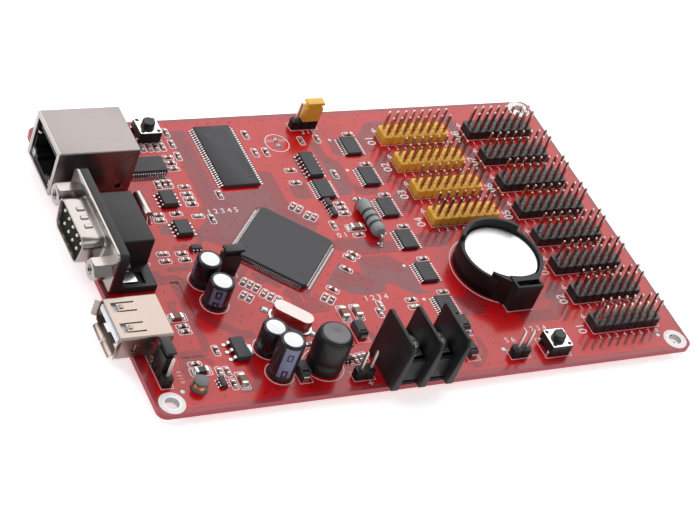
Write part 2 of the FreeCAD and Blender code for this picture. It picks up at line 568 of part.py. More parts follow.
def usb_socket():
    """A folded socket with flared lips and four slit fingers, a tongue and its contacts."""
    centre = f"{USB_FRONT} + usb_length / 2"
    shell = box("UsbOuter", centre, USB_Y, "board_thickness", "usb_length", "usb_width", "usb_height")
    hollow = box("UsbInner", f"{centre} - sheet", USB_Y, "board_thickness + sheet", "usb_length",
                 "usb_width - 2 * sheet", "usb_height - 2 * sheet")
    slits = []
    for finger, sign in (("Back", "+"), ("Front", "-")):
        for edge, step in (("Outer", "+"), ("Inner", "-")):
            slits.append(box(f"UsbSlit{finger}{edge}", f"{USB_FRONT} + finger_start + finger_length / 2",
                             f"{USB_Y} {sign} finger_spread {step} finger_width / 2", "0", "finger_length",
                             "finger_gap", "2 * usb_height"))
    lips = []
    top = "board_thickness + usb_height"
    flare = [("0", "-sheet"), ("0", "0"), ("-lip_length", "lip_flare"), ("-lip_length", "lip_flare - sheet")]
    lips.append(side_profile("UsbLipTop", flare, USB_FRONT, USB_Y, top, "usb_width - 2 * lip_inset"))
    drop = [("0", "0"), ("0", "sheet"), ("-lip_length", "sheet - lip_flare"), ("-lip_length", "-lip_flare")]
    lips.append(side_profile("UsbLipBottom", drop, USB_FRONT, USB_Y, "board_thickness",
                             "usb_width - 2 * lip_inset"))
    for side, sign in (("Back", "+"), ("Front", "-")):
        wing = [("0", f"{sign}(0 - sheet)"), ("0", "0"), ("-lip_length", f"{sign}lip_flare"),
                ("-lip_length", f"{sign}(lip_flare - sheet)")]
        lip = extrude(f"UsbLip{side}", wing, "usb_height - 2 * wing_inset")
        lips.append(place(lip, USB_FRONT, f"{USB_Y} {sign} usb_width / 2", "board_thickness + wing_inset"))
    tabs = [box(f"UsbTab{side}", USB_TAB_X, f"{USB_Y} {sign} (usb_width - sheet) / 2", "-tail_length",
                "tab_width", "sheet", f"{TAIL} + 1") for side, sign in (("Back", "+"), ("Front", "-"))]
    node(fuse("UsbShell", cut("UsbSheet", shell, hollow, *slits), *lips, *tabs), "usb_shell")
    inner = "(usb_width - 2 * sheet - 2 * jack_fit)"
    base = box("UsbBase", f"{USB_FRONT} + usb_length - sheet - jack_fit - tongue_base / 2", USB_Y,
               "board_thickness + sheet", "tongue_base", inner, "usb_height - 2 * sheet - jack_fit")
    reach = "(usb_length - sheet - jack_fit - tongue_set)"
    tongue_top = "board_thickness + usb_height - sheet - tongue_drop"
    tongue = box("UsbTongueBlade", f"{USB_FRONT} + tongue_set + {reach} / 2", USB_Y,
                 f"{tongue_top} - tongue_thick", reach, "tongue_width", "tongue_thick")
    node(fuse("UsbTongue", base, tongue), "usb_tongue")
    pads = [box(f"UsbPad{index + 1}", f"{USB_FRONT} + pad_start + pad_length / 2",
                f"{USB_Y} + ({index} - 1.5) * pad_pitch", f"{tongue_top} - tongue_thick - pad_thick",
                "pad_length", "pad_width", "pad_thick") for index in range(4)]
    node(group("UsbPads", *pads), "usb_contacts")


def terminal_block():
    """A two-pole barrier block: walls, plates with posts, clamp washers and screws."""
    middle = f"({TERMINAL_FRONT} + terminal_depth / 2)"
    pole_depth = "(terminal_depth - pole_set)"
    shelf_depth = "(terminal_depth - shelf_set)"
    base = box("PoleBase", TERMINAL_X, f"{TERMINAL_BACK} - {pole_depth} / 2", "board_thickness",
               "2 * terminal_pitch", pole_depth, "pole_height")
    shelf = box("PoleShelf", TERMINAL_X, f"{TERMINAL_BACK} - {shelf_depth} / 2", "board_thickness",
                "2 * terminal_pitch", shelf_depth, "shelf_height")
    ridge = box("PoleRidge", TERMINAL_X, f"{TERMINAL_FRONT} + shelf_set + ridge_depth / 2",
                "board_thickness", "2 * terminal_pitch", "ridge_depth", "ridge_height")
    walls = []
    for index in range(3):
        points = [("-wall_base / 2", "0"), ("wall_base / 2", "0"), ("wall_top / 2", "wall_height"),
                  ("-wall_top / 2", "wall_height")]
        walls.append(side_profile(f"BarrierWall{index + 1}", points,
                                  f"{TERMINAL_X} + ({index} - 1) * terminal_pitch", middle,
                                  "board_thickness", "terminal_depth"))
    wells = [box(f"PoleWell{index + 1}", f"{TERMINAL_X} + ({index} - 0.5) * terminal_pitch",
                 SCREW_Y, "0", "well_width", "well_depth", "2 * pole_height")
             for index in range(2)]
    node(cut("TerminalBody", fuse("TerminalSolid", base, shelf, ridge, *walls), *wells), "terminal_body")
    top = "board_thickness + pole_height"
    plates = []
    for index in range(2):
        x = f"({TERMINAL_X} + ({index} - 0.5) * terminal_pitch)"
        reach = f"({pole_depth} - plate_margin)"
        plate = box(f"PolePlate{index + 1}", x, f"{TERMINAL_BACK} - plate_margin - {reach} / 2", top,
                    "plate_width", reach, "plate_thick")
        lip = box(f"PoleLip{index + 1}", x, f"{TERMINAL_BACK} - {pole_depth} - plate_thick / 2",
                  f"{top} + plate_thick - plate_lip", "plate_width", "plate_thick", "plate_lip")
        post = box(f"PolePost{index + 1}", x, POST_Y, "-tail_length", "post_width", "post_thick",
                   f"{TAIL} + pole_height + 0.1")
        bore = rod(f"PoleBore{index + 1}", x, SCREW_Y, "0", "screw_radius + screw_fit",
                   f"{top} + 2")
        plates.append(cut(f"PoleContact{index + 1}", fuse(f"PoleMetal{index + 1}", plate, lip, post), bore))
        washer = box(f"ClampPlate{index + 1}", x, SCREW_Y, f"{top} + plate_thick",
                     "clamp_width", "clamp_depth", "clamp_thick")
        hole = rod(f"ClampBore{index + 1}", x, SCREW_Y, top,
                   "screw_radius + screw_fit", "3 * clamp_thick")
        node(cut(f"Clamp{index + 1}", washer, hole), f"terminal_clamp_{index + 1}")
        seat = f"{top} + plate_thick + clamp_thick"
        shank = rod(f"ScrewShank{index + 1}", x, SCREW_Y, f"{seat} - screw_shank",
                    "screw_radius", "screw_shank + 0.1")
        head = rod(f"ScrewHead{index + 1}", x, SCREW_Y, seat, "head_radius",
                   "head_height")
        slot = box(f"ScrewSlot{index + 1}", x, SCREW_Y, f"{seat} + head_height - driver_depth",
                   "3 * head_radius", "driver_slot", "2 * driver_depth")
        node(cut(f"Screw{index + 1}", fuse(f"ScrewSolid{index + 1}", shank, head), slot),
             f"terminal_screw_{index + 1}")
    node(group("TerminalPlates", *plates), "terminal_plates")


def coin_cell():
    """A round holder with a raised front box, the cell that lifts out of it and its contacts."""
    x, y = across("cell_x"), along("cell_y")
    holder = new_body("Holder")
    round_wall = "(cell_radius + cell_fit + cup_wall)"
    cup = body_sketch(holder, "CupOutline")
    circle(cup, "0", "0", round_wall)
    pad(holder, "Cup", cup, "cup_height")
    front = body_sketch(holder, "FrontOutline")
    polygon(front, [("-front_left", "-front_root"), ("-front_left", "-(front_reach - front_chamfer)"),
                    ("-front_left + front_chamfer", "-front_reach"), ("-box_left", "-front_reach"),
                    ("-box_left", "-box_reach"), ("front_right", "-box_reach"),
                    ("front_right", "-front_root")])
    pad(holder, "Front", front, "front_height")
    well = body_sketch(holder, "CellWell", offset="cup_floor")
    circle(well, "0", "0", "cell_radius + cell_fit")
    pocket(holder, "Well", well, "2 * front_height", reverse=True)
    window = body_sketch(holder, "BoxWindow", offset="cup_floor")
    rectangle(window, "(front_right - box_left) / 2", "-(box_reach + front_reach - box_wall) / 2",
              "front_right + box_left - 2 * box_wall", "box_reach - front_reach - box_wall")
    pocket(holder, "Window", window, "2 * front_height", reverse=True)
    place(holder, x, y)
    rim = doc.addObject("Part::Cylinder", "RimArc")
    bind(rim, "Radius", round_wall)
    bind(rim, "Height", "rim_height")
    bind(rim, "Angle", "rim_sweep")
    place(rim, x, y, turn=size("rim_start"))
    hollow = rod("RimHollow", x, y, "0", "cell_radius + cell_fit", "3 * rim_height")
    node(fuse("HolderPart", holder, cut("Rim", rim, hollow)), "cell_holder")
    node(rod("Cell", x, y, "board_thickness + cup_floor + blade_thick", "cell_radius", "cell_thick"),
         "coin_cell")
    under = box("UnderBlade", x, y, "board_thickness + cup_floor", "blade_length", "blade_width",
                "blade_thick")
    side = box("SideBlade", f"{x} + (front_right - box_left) / 2", f"{y} - front_reach - blade_set",
               "board_thickness + cup_floor", "blade_width", "blade_thick", "blade_rise")
    node(group("Blades", under, side), "cell_contacts")


def push_buttons():
    """Two square push buttons: case with legs, steel plate, plunger and snap dome."""
    cases = []
    plates = []
    domes = []
    for where in ("back", "front"):
        name = where.capitalize()
        x, y = across(f"{where}_button_x"), along(f"{where}_button_y")
        shell = box(f"{name}Shell", x, y, "board_thickness", "button_side", "button_side", "button_case")
        well = box(f"{name}Well", x, y, "board_thickness + button_floor", "button_well", "button_well",
                   "button_case")
        legs = []
        for index, (sx, sy) in enumerate((("+", "+"), ("+", "-"), ("-", "+"), ("-", "-"))):
            outside = [("0", "leg_rise"), (f"{sx}(leg_spread_x - button_side + leg_thick) / 2", "leg_rise"),
                       (f"{sx}(leg_spread_x - button_side + leg_thick) / 2", f"-({TAIL})"),
                       (f"{sx}(leg_spread_x - button_side - leg_thick) / 2", f"-({TAIL})"),
                       (f"{sx}(leg_spread_x - button_side - leg_thick) / 2", "leg_rise - leg_thick"),
                       ("0", "leg_rise - leg_thick")]
            legs.append(side_profile(f"{name}Leg{index + 1}", outside, f"{x} {sx} button_side / 2",
                                     f"{y} {sy} leg_spread_y / 2", "board_thickness", "leg_width"))
        cases.append(fuse(f"{name}Case", cut(f"{name}Cup", shell, well), *legs))
        cover = box(f"{name}Cover", x, y, "board_thickness + button_case", "button_side", "button_side",
                    "button_plate")
        hole = rod(f"{name}Hole", x, y, "board_thickness", "plunger_radius + plunger_gap", "2 * button_case")
        plates.append(cut(f"{name}Plate", cover, hole))
        flange_base = "board_thickness + button_case - plunger_set - plunger_flange_thick"
        flange = box(f"{name}Flange", x, y, flange_base, "plunger_flange", "plunger_flange",
                     "plunger_flange_thick")
        stem = rod(f"{name}Stem", x, y, flange_base, "plunger_radius",
                   "plunger_top - button_case + plunger_set + plunger_flange_thick")
        node(fuse(f"{name}Plunger", flange, stem), f"{where}_button_plunger")
        domes.append(prism(f"{name}Dome", 8, x, y, "board_thickness + button_floor", "dome_radius",
                           "dome_thick"))
    node(group("ButtonCases", *cases), "button_cases")
    node(group("ButtonPlates", *plates), "button_plates")
    node(group("ButtonDomes", *domes), "button_domes")


def jumper_cap(name, x, y, turn):
    """A hollow cap over two pins, closed on top, with a grip groove round its head."""
    outer = box(name + "Outer", "0", "0", "0", "cap_length", "cap_width", "cap_height")
    inner = box(name + "Inner", "0", "0", "-cap_height", "cap_length - 2 * cap_wall",
                "cap_width - 2 * cap_wall", "2 * cap_height - cap_roof")
    grooves = [box(f"{name}Groove{side}", "0", f"{sign}(cap_width / 2)", "cap_height - groove_drop",
                   "2 * cap_length", "2 * cap_groove", "groove_width")
               for side, sign in (("Back", ""), ("Front", "-"))]
    notches = [box(f"{name}Notch{side}", f"{sign}(cap_length / 2)", "0", "cap_height - groove_drop",
                   "2 * cap_groove", "2 * cap_width", "groove_width")
               for side, sign in (("Right", ""), ("Left", "-"))]
    return place(cut(name, outer, inner, *grooves, *notches), x, y,
                 "board_thickness + housing_height + cap_seat", turn)


def jumpers():
    """The small headers, three of them with a jumper cap pushed on."""
    sites = {where: (across(f"{where}_jumper_x"), along(f"{where}_jumper_y"))
             for where in ("left", "back", "middle")}
    left = header("LeftHeader", "3", 1, *sites["left"], 90)
    back = header("BackHeader", "3", 1, *sites["back"])
    middle = header("MiddleHeader", "2", 1, *sites["middle"])
    node(group("JumperHeaders", left, back, middle), "jumper_headers")
    (left_x, left_y), (back_x, back_y) = sites["left"], sites["back"]
    node(jumper_cap("LeftCap", left_x, f"{left_y} + pitch / 2", 90), "left_jumper_cap")
    node(jumper_cap("BackCap", f"{back_x} + pitch / 2", back_y, 0), "back_jumper_cap")
    node(jumper_cap("MiddleCap", *sites["middle"], 0), "middle_jumper_cap")
    spare = [header(f"Spare{where.capitalize()}", "2", 1, across(f"spare_{where}_x"),
                    along(f"spare_{where}_y")) for where in ("left", "right")]
    node(group("SpareHeaders", *spare), "spare_headers")


def chip(name, width, length, height, span, row, pitch=None, chamfer=None, all_sides=False):
    """A moulded chip whose leads slope down to the board: a full row, or three single leads at a pitch."""
    body = new_body(name)
    outline = body_sketch(body, name + "Outline", offset="chip_lift")
    rectangle(outline, "0", "0", width, length)
    slab = pad(body, name + "Moulding", outline, f"{height} - chip_lift")
    if chamfer:
        doc.recompute()
        edges = [f"Edge{i}" for i, edge in enumerate(slab.Shape.Edges, start=1)
                 if abs(edge.tangentAt(edge.FirstParameter).z) > 0.9]
        bevel = body.newObject("PartDesign::Chamfer", name + "Corners")
        bevel.Base = (slab, edges)
        bind(bevel, "Size", chamfer)
    wedge = body_sketch(body, name + "Wedge", "XZ_Plane", offset=pitch)
    for side in ("", "-"):
        polygon(wedge, [(f"{side}({width}) / 2", "0"), (f"{side}({span}) / 2", "0"),
                        (f"{side}({width}) / 2", f"({height}) / 2")])
    feet = pad(body, name + "Leads", wedge, row, mirrored=True)
    if pitch:
        repeat(body, name + "Row", feet, wedge, "N_Axis", f"2 * {pitch}", "3").Reversed = True
    if all_sides:
        turn = body.newObject("PartDesign::PolarPattern", name + "Around")
        turn.Originals = [feet]
        turn.Axis = (outline, ["N_Axis"])
        turn.Angle = 90
        turn.Occurrences = 2
        body.Tip = turn
    return body


def small_outline(name, length):
    """A narrow chip with leads at a pitch of 1.27."""
    return chip(name, "narrow_width", length, "narrow_height", "narrow_span", f"{length} - narrow_margin")


def buffer_chip(name, x, y):
    """A thin chip with twenty leads."""
    item = chip(name, "buffer_width", "buffer_length", "buffer_height", "buffer_span", "buffer_row")
    return place(item, x, y)


def leaded_chips():
    """The processor, the memory, the port buffers, the interface chips and the regulators."""
    cpu = chip("Cpu", "cpu_side", "cpu_side", "cpu_height", "cpu_span", "cpu_row", chamfer="cpu_chamfer",
               all_sides=True)
    node(place(cpu, across("cpu_x"), along("cpu_y"), turn=45), "processor")
    memory = chip("Memory", "memory_width", "memory_length", "memory_height", "memory_span", "memory_row")
    node(place(memory, across("memory_x"), along("memory_y")), "memory_chip")
    buffers = [buffer_chip(f"Buffer{index + 1}", across("buffer_x"),
                           along(f"buffer_y + {index} * buffer_step"))
               for index in range(int(size("buffer_count")))]
    node(group("Buffers", *buffers), "buffer_chips")
    wide = chip("Wide", "wide_width", "wide_length", "wide_height", "wide_span", "wide_row")
    place(wide, f"{JACK_BACK} + wide_gap + wide_length / 2", along("wide_y"), turn=90)
    logic = place(small_outline("Logic", "logic_length"), across("logic_x"), along("logic_y"))
    driver = buffer_chip("Driver", across("logic_x"), along("driver_y"))
    amps = [place(small_outline(f"Amp{where.capitalize()}", "amp_length"), across("amp_x"),
                  along(f"amp_{where}_y")) for where in ("back", "front")]
    node(group("InterfaceChips", wide, logic, driver, *amps), "interface_chips")
    regulator = chip("Regulator", "regulator_width", "regulator_length", "regulator_height", "regulator_span",
                     "regulator_lead", "regulator_pitch")
    place(regulator, across("regulator_x"), along("regulator_y"))
    small = [place(chip(f"Sot{index}", "sot_width", "sot_length", "sot_height", "sot_span", "sot_row"),
                   across(x), along(y), turn=turn) for index, (x, y, turn) in enumerate(SOTS, start=1)]
    node(group("RegulatorChips", regulator, *small), "regulator_chips")


def stadium(name, length, width, height):
    """The three solids of a block with fully round ends."""
    reach = f"(({length}) - ({width})) / 2"
    return [box(f"{name}Bar", "0", "0", "0", f"2 * {reach}", width, height),
            rod(f"{name}Right", reach, "0", "0", f"({width}) / 2", height),
            rod(f"{name}Left", f"-{reach}", "0", "0", f"({width}) / 2", height)]


def round_parts():
    """Capacitor cans, coils, crystals and the wire-ended resistor."""
    cans = [rod(f"Can{index}", across(x), along(y), "board_thickness", "can_radius", height)
            for index, (x, y, height) in enumerate(CANS, start=1)]
    node(group("Cans", *cans), "capacitor_cans")
    drum = rod("Drum", across("drum_x"), along("drum_y"), "board_thickness", "drum_radius", "drum_height")
    node(drum, "drum_inductor")
    coil = across("coil_x"), along("coil_y")
    foot = prism("CoilFoot", 16, *coil, "board_thickness", "coil_radius", "coil_flange")
    waist = prism("CoilWaist", 16, *coil, "board_thickness", "coil_waist", "coil_height")
    cap = prism("CoilCap", 16, *coil, "board_thickness + coil_height - coil_flange",
                "coil_radius - coil_step", "coil_flange")
    node(fuse("Coil", foot, waist, cap), "small_inductor")
    rim = stadium("CrystalRim", "crystal_length + 2 * crystal_rim", "crystal_width + 2 * crystal_rim",
                  "crystal_rim_thick")
    can = stadium("CrystalCan", "crystal_length", "crystal_width", "crystal_height")
    crystal = fuse("Crystal", *rim, *can)
    node(place(crystal, across("crystal_x"), along("crystal_y"), turn=-45), "crystal_can")
    clock = rod("Clock", across("clock_x"), f"{along('clock_y')} - clock_length / 2",
                "board_thickness + clock_radius", "clock_radius", "clock_length", "y")
    node(clock, "clock_can")
    x, y = across("resistor_x"), along("resistor_y")
    middle = "board_thickness + resistor_radius"
    barrel = rod("ResistorBarrel", x, f"{y} - resistor_length / 2", middle, "resistor_radius",
                 "resistor_length", "y")
    leads = []
    for side, sign in (("Back", "+"), ("Front", "-")):
        leads.append(box(f"ResistorDrop{side}", x, f"{y} {sign} {RESISTOR_END}", "-tail_length",
                         "2 * wire_radius", "2 * wire_radius", f"{TAIL} + resistor_radius + wire_radius"))
        leads.append(box(f"ResistorWire{side}", x, f"{y} {sign} (resistor_length + resistor_reach) / 4",
                         f"{middle} - wire_radius", "2 * wire_radius",
                         "(resistor_reach - resistor_length) / 2", "2 * wire_radius"))
    node(fuse("Resistor", barrel, *leads), "power_resistor")


def chip_box(name, x, y, turn, kind):
    """One chip part, turned about its own centre."""
    item = doc.addObject("Part::Box", name)
    bind(item, "Length", f"{kind}_length")
    bind(item, "Width", f"{kind}_width")
    bind(item, "Height", f"{kind}_height")
    spin = FreeCAD.Rotation(V(0, 0, 1), turn)
    item.Placement.Rotation = spin
    half = spin.multVec(V(size(f"{kind}_length") / 2, size(f"{kind}_width") / 2, 0))
    return place(item, f"{x} - ({half.x})", f"{y} - ({half.y})")


def spread(chips, rows):
    """Single places and the places of every row in one list."""
    places = list(chips)
    for x, y, step_x, step_y, count, turn in rows:
        places += [(x + step_x * i, y + step_y * i, turn) for i in range(int(count))]
    return places


def flat_parts():
    """Chip resistors and capacitors, and the moulded diodes with their end terminals."""
    sites = [(across(x), along(y), turn, "small") for x, y, turn in spread(SMALL_CHIPS, CHIP_ROWS)]
    sites += [(f"{JACK_BACK} + {x}", along(y), turn, "small") for x, y, turn in spread(JACK_CHIPS, JACK_ROWS)]
    sites += [(across(x), along(y), turn, "large") for x, y, turn in LARGE_CHIPS]
    chips = [chip_box(f"Chip{index}", *site) for index, site in enumerate(sites, start=1)]
    node(group("ChipParts", *chips), "chip_parts")
    diodes = []
    for index, (x, y, turn) in enumerate(DIODES, start=1):
        moulding = box(f"DiodeBody{index}", "0", "0", "0", "diode_length", "diode_width", "diode_height")
        ends = box(f"DiodeEnds{index}", "0", "0", "0", "diode_length + 2 * diode_terminal",
                   "diode_terminal_width", "diode_height / 2")
        diodes.append(place(fuse(f"Diode{index}", moulding, ends), across(x), along(y), turn=turn))
    node(group("Diodes", *diodes), "chip_diodes")


def check_and_write():
    """Refuse a failed feature or an empty shape, then write one file per sub-part."""
    doc.recompute()
    for item in doc.Objects:
        if "Invalid" in item.State or "Error" in item.State:
            raise RuntimeError(f"{item.Name} failed: {item.State}")
    for item in NODES:
        if item.Shape.isNull() or not item.Shape.isValid():
            raise RuntimeError(f"{item.Label} has no valid shape")
    os.makedirs("parts", exist_ok=True)
    for item in NODES:
        item.Shape.exportStep(f"parts/{item.Label}.step")
        print(item.Label, len(item.Shape.Solids), round(item.Shape.Volume, 2))


circuit_board()
pin_headers()
header_tails()
network_jack()
serial_connector()
usb_socket()
terminal_block()
coin_cell()
push_buttons()
jumpers()
leaded_chips()
round_parts()
flat_parts()
check_and_write()
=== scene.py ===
import logging
import math
import random
from dataclasses import dataclass, field, replace
from enum import Enum
from functools import lru_cache
from typing import Any, Iterable, Sequence, Union

import bmesh
import bpy
from mathutils import Matrix, Vector


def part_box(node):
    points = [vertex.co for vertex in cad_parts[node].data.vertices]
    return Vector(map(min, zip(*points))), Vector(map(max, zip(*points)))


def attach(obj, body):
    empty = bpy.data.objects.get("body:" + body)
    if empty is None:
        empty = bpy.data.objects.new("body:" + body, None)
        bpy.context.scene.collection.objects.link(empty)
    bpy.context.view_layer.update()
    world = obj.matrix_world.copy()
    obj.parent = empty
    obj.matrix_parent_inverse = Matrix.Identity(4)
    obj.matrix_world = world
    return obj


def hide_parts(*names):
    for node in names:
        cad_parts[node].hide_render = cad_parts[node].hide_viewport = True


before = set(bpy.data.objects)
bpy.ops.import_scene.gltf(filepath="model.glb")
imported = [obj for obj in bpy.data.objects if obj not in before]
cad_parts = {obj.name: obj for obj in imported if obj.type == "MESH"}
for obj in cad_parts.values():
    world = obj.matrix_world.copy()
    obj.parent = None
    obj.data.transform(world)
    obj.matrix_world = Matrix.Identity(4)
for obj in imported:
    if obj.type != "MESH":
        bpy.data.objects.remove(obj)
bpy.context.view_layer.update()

# Pieces are modelled in millimetres, in the axes of the CAD model, and scaled to metres when they are finished.

LOG = logging.getLogger("driver_board")
MM = 0.001
WELD = 1e-4
# a face looks along a direction when the cosine of the angle between them is above this
FACING = 0.9
UP = Vector((0, 0, 1))
LEFT = Vector((-1, 0, 0))
# the signs of X and Y at the four corners of something centred
CORNERS = ((1, 1), (1, -1), (-1, 1), (-1, -1))
# in millimetres
BOARD_TOP = 1.6
PIN_PITCH = 2.54
PRONG_END = -1.5
PORT_COUNT = 8
PORTS = [f"port_header_{index}" for index in range(1, PORT_COUNT + 1)]
AUX_PORTS = [f"aux_header_{index}" for index in range(1, 5)]
Colour = tuple[float, float, float]
Flat = Sequence[tuple[float, float]]
Outline = list[tuple[float, float]]
Stretch = tuple[float, float, float]
Thing = bpy.types.Object


class Way(Enum):
    """The direction that a round piece runs along, as the turn of an upright one."""

    X = (0.0, math.pi / 2, 0.0)
    Y = (-math.pi / 2, 0.0, 0.0)
    Z = (0.0, 0.0, 0.0)


# ---------------------------------------------------------------- materials


class Wire:
    """A shader socket that takes part in Python sums."""

    def __init__(self, recipe: "Recipe", socket: bpy.types.NodeSocket) -> None:
        """Remember the socket and the recipe it belongs to."""
        self.recipe = recipe
        self.socket = socket

    def _sum(self, operation: str, first: Any, second: Any) -> "Wire":
        """Add one Math node and return its result."""
        return self.recipe.node("ShaderNodeMath", {"operation": operation}, {0: first, 1: second})

    def __add__(self, other: Any) -> "Wire":
        """self + other."""
        return self._sum("ADD", self, other)

    def __mul__(self, other: Any) -> "Wire":
        """self * other."""
        return self._sum("MULTIPLY", self, other)


class Recipe:
    """A material on the bench: its node tree, its shader and one way to add a node."""

    def __init__(self, name: str) -> None:
        """Start an empty material with one Principled shader."""
        self.material = bpy.data.materials.new(name)
        self.material.use_nodes = True
        self.tree = self.material.node_tree
        self.tree.nodes.clear()
        output = self.tree.nodes.new("ShaderNodeOutputMaterial")
        self.principled = self.tree.nodes.new("ShaderNodeBsdfPrincipled")
        self.tree.links.new(self.principled.outputs[0], output.inputs["Surface"])

    def node(self, kind: str, settings: dict[str, Any], inputs: dict[Union[int, str], Any],
             output: Union[int, str] = 0) -> Wire:
        """Add a node.

        Args:
            kind: the node's type.
            settings: its properties.
            inputs: a value or a wire for each socket named.
            output: the socket that the wire starts from.

        Returns:
            A wire from the output.
        """
        item = self.tree.nodes.new(kind)
        for key, value in settings.items():
            setattr(item, key, value)
        for key, value in inputs.items():
            self._feed(item.inputs[key], value)
        return Wire(self, item.outputs[output])

    def _feed(self, socket: bpy.types.NodeSocket, value: Any) -> None:
        """Link a wire to a socket or set its value."""
        if isinstance(value, Wire):
            self.tree.links.new(value.socket, socket)
        elif isinstance(value, tuple) and len(value) == 3 and socket.type == "RGBA":
            socket.default_value = (*value, 1.0)
        else:
            socket.default_value = value

    def place(self, stretch: Stretch) -> Wire:
        """Object coordinates in millimetres, stretched."""
        where = self.node("ShaderNodeTexCoord", {}, {}, "Object")
        return self.node("ShaderNodeMapping", {}, {"Vector": where,
                                                   "Scale": tuple(1000.0 * value for value in stretch)})

    def noise(self, scale: float, detail: float = 2.0, stretch: Stretch = (1.0, 1.0, 1.0)) -> Wire:
        """Noise of so many cells per millimetre."""
        where = self.place(stretch)
        return self.node("ShaderNodeTexNoise", {}, {"Vector": where, "Scale": scale, "Detail": detail})

    def mix(self, amount: Any, first: Any, second: Any) -> Wire:
        """A colour between two colours."""
        return self.node("ShaderNodeMix", {"data_type": "RGBA"}, {0: amount, 6: first, 7: second}, 2)

    def bump(self, height: Wire, depth: float) -> Wire:
        """A normal from a height, with the depth in millimetres."""
        return self.node("ShaderNodeBump", {}, {"Height": height, "Strength": 1.0, "Distance": depth * MM})

    def shade(self, **sockets: Any) -> bpy.types.Material:
        """Set the shader's sockets, named with underscores, and return the material."""
        for key, value in sockets.items():
            self._feed(self.principled.inputs[key.replace("_", " ").title().replace("Ior", "IOR")], value)
        return self.material


def tone(colour: Colour, share: float) -> Colour:
    """A colour made lighter or darker by a share."""
    return tuple(min(1.0, channel * share) for channel in colour)


@dataclass(frozen=True)
class Resist:
    """Glossy solder resist, over bare laminate or over copper tracks."""

    name: str
    slot: str
    colour: Colour
    deep: Colour
    cloud: float = 0.06
    gloss: float = 0.16

    def make(self) -> bpy.types.Material:
        """Cloudy pigment under a clear skin with a slight orange peel."""
        mix = Recipe(self.name)
        cloud = mix.noise(self.cloud, 4.0)
        speck = mix.noise(3.0, 2.0)
        pigment = mix.mix(cloud * 0.8 + speck * 0.2, self.deep, self.colour)
        peel = mix.bump(mix.noise(1.1, 2.0), 0.004)
        return mix.shade(base_color=pigment, roughness=speck * 0.08 + self.gloss, normal=peel,
                         specular_ior_level=0.42, coat_weight=0.08, coat_roughness=0.05)


@dataclass(frozen=True)
class Moulded:
    """Moulded plastic with a fine matt grain and rubbed patches."""

    name: str
    slot: str
    colour: Colour
    rough: float = 0.45
    grain: float = 9.0
    depth: float = 0.01
    bleed: float = 0.0
    shine: float = 0.36

    def make(self) -> bpy.types.Material:
        """A grain in the normal and slow changes in colour and gloss."""
        mix = Recipe(self.name)
        fine = mix.noise(self.grain, 3.0)
        slow = mix.noise(0.35, 3.0)
        skin = mix.mix(slow, tone(self.colour, 0.82), tone(self.colour, 1.18))
        return mix.shade(base_color=skin, roughness=slow * 0.18 + fine * 0.06 + (self.rough - 0.12),
                         normal=mix.bump(fine, self.depth), specular_ior_level=self.shine,
                         subsurface_weight=self.bleed, subsurface_scale=MM)


@dataclass(frozen=True)
class Plated:
    """Plated or bare metal, drawn or brushed along one direction, with dull patches."""

    name: str
    slot: str
    colour: Colour
    rough: float = 0.25
    stretch: Stretch = (1.0, 1.0, 1.0)
    depth: float = 0.0015
    stain: float = 0.85

    def make(self) -> bpy.types.Material:
        """Fine drawn lines in the normal and gloss, slow stains in the colour."""
        mix = Recipe(self.name)
        lines = mix.noise(6.0, 4.0, self.stretch)
        slow = mix.noise(0.25, 4.0)
        skin = mix.mix(slow, tone(self.colour, self.stain), self.colour)
        return mix.shade(base_color=skin, metallic=1.0, roughness=lines * 0.12 + slow * 0.1 + (self.rough - 0.1),
                         normal=mix.bump(lines, self.depth))


@dataclass(frozen=True)
class Printed:
    """Matt printing ink, a little thin in places."""

    name: str
    slot: str
    colour: Colour
    thin: Colour

    def make(self) -> bpy.types.Material:
        """Speckled ink with a soft edge to its grain."""
        mix = Recipe(self.name)
        speck = mix.noise(7.0, 3.0)
        return mix.shade(base_color=mix.mix(speck, self.thin, self.colour), roughness=speck * 0.2 + 0.4,
                         normal=mix.bump(speck, 0.004))


@dataclass(frozen=True)
class Clear:
    """A clear light pipe or lamp body."""

    name: str
    slot: str
    colour: Colour

    def make(self) -> bpy.types.Material:
        """Tinted and slightly clouded, with a bright skin."""
        mix = Recipe(self.name)
        cloud = mix.noise(1.2, 3.0)
        return mix.shade(base_color=mix.mix(cloud, tone(self.colour, 0.7), self.colour),
                         roughness=cloud * 0.1 + 0.08, transmission_weight=0.35, ior=1.49, coat_weight=0.5)


Finish = Union[Resist, Moulded, Plated, Printed, Clear]

LAMINATE = Resist("resist_over_laminate", "board_red", (0.33, 0.03, 0.045), (0.28, 0.024, 0.036))
POUR = Resist("resist_over_copper", "board_red", (0.52, 0.006, 0.009), (0.46, 0.004, 0.006))
FIELD = Resist("resist_over_tracks", "board_red", (0.22, 0.035, 0.05), (0.19, 0.028, 0.042))
TRACK = Resist("resist_on_track", "board_red", (0.38, 0.02, 0.03), (0.33, 0.015, 0.024))
# darkest resist, for the gaps between tracks and also for painted shade under the chip leads
GAP_AND_SHADE = Resist("resist_in_gap_and_painted_shade", "board_red", (0.17, 0.006, 0.01), (0.14, 0.005, 0.008))
BOARD_EDGE = Resist("board_edge", "board_red", (0.4, 0.035, 0.055), (0.3, 0.02, 0.035), 0.4, 0.35)
VIA = Resist("filled_via", "board_red", (0.13, 0.006, 0.01), (0.1, 0.004, 0.008))
WHITE_INK = Printed("white_ink", "white_plastic", (0.86, 0.84, 0.85), (0.74, 0.66, 0.67))
BLACK = Moulded("black_moulding", "black_plastic", (0.008, 0.008, 0.009), shine=0.3)
# near black and matt: the real insulator, also standing in for the shade inside the serial skirt (painted shade)
INSULATOR_AND_SHADE = Moulded("insulator_with_painted_shade", "black_plastic", (0.004, 0.004, 0.004), 0.62, shine=0.1)
HEADER_BLACK = Moulded("header_moulding", "black_plastic", (0.009, 0.009, 0.012), 0.38, 9.0, 0.006, 0.0, 0.62)
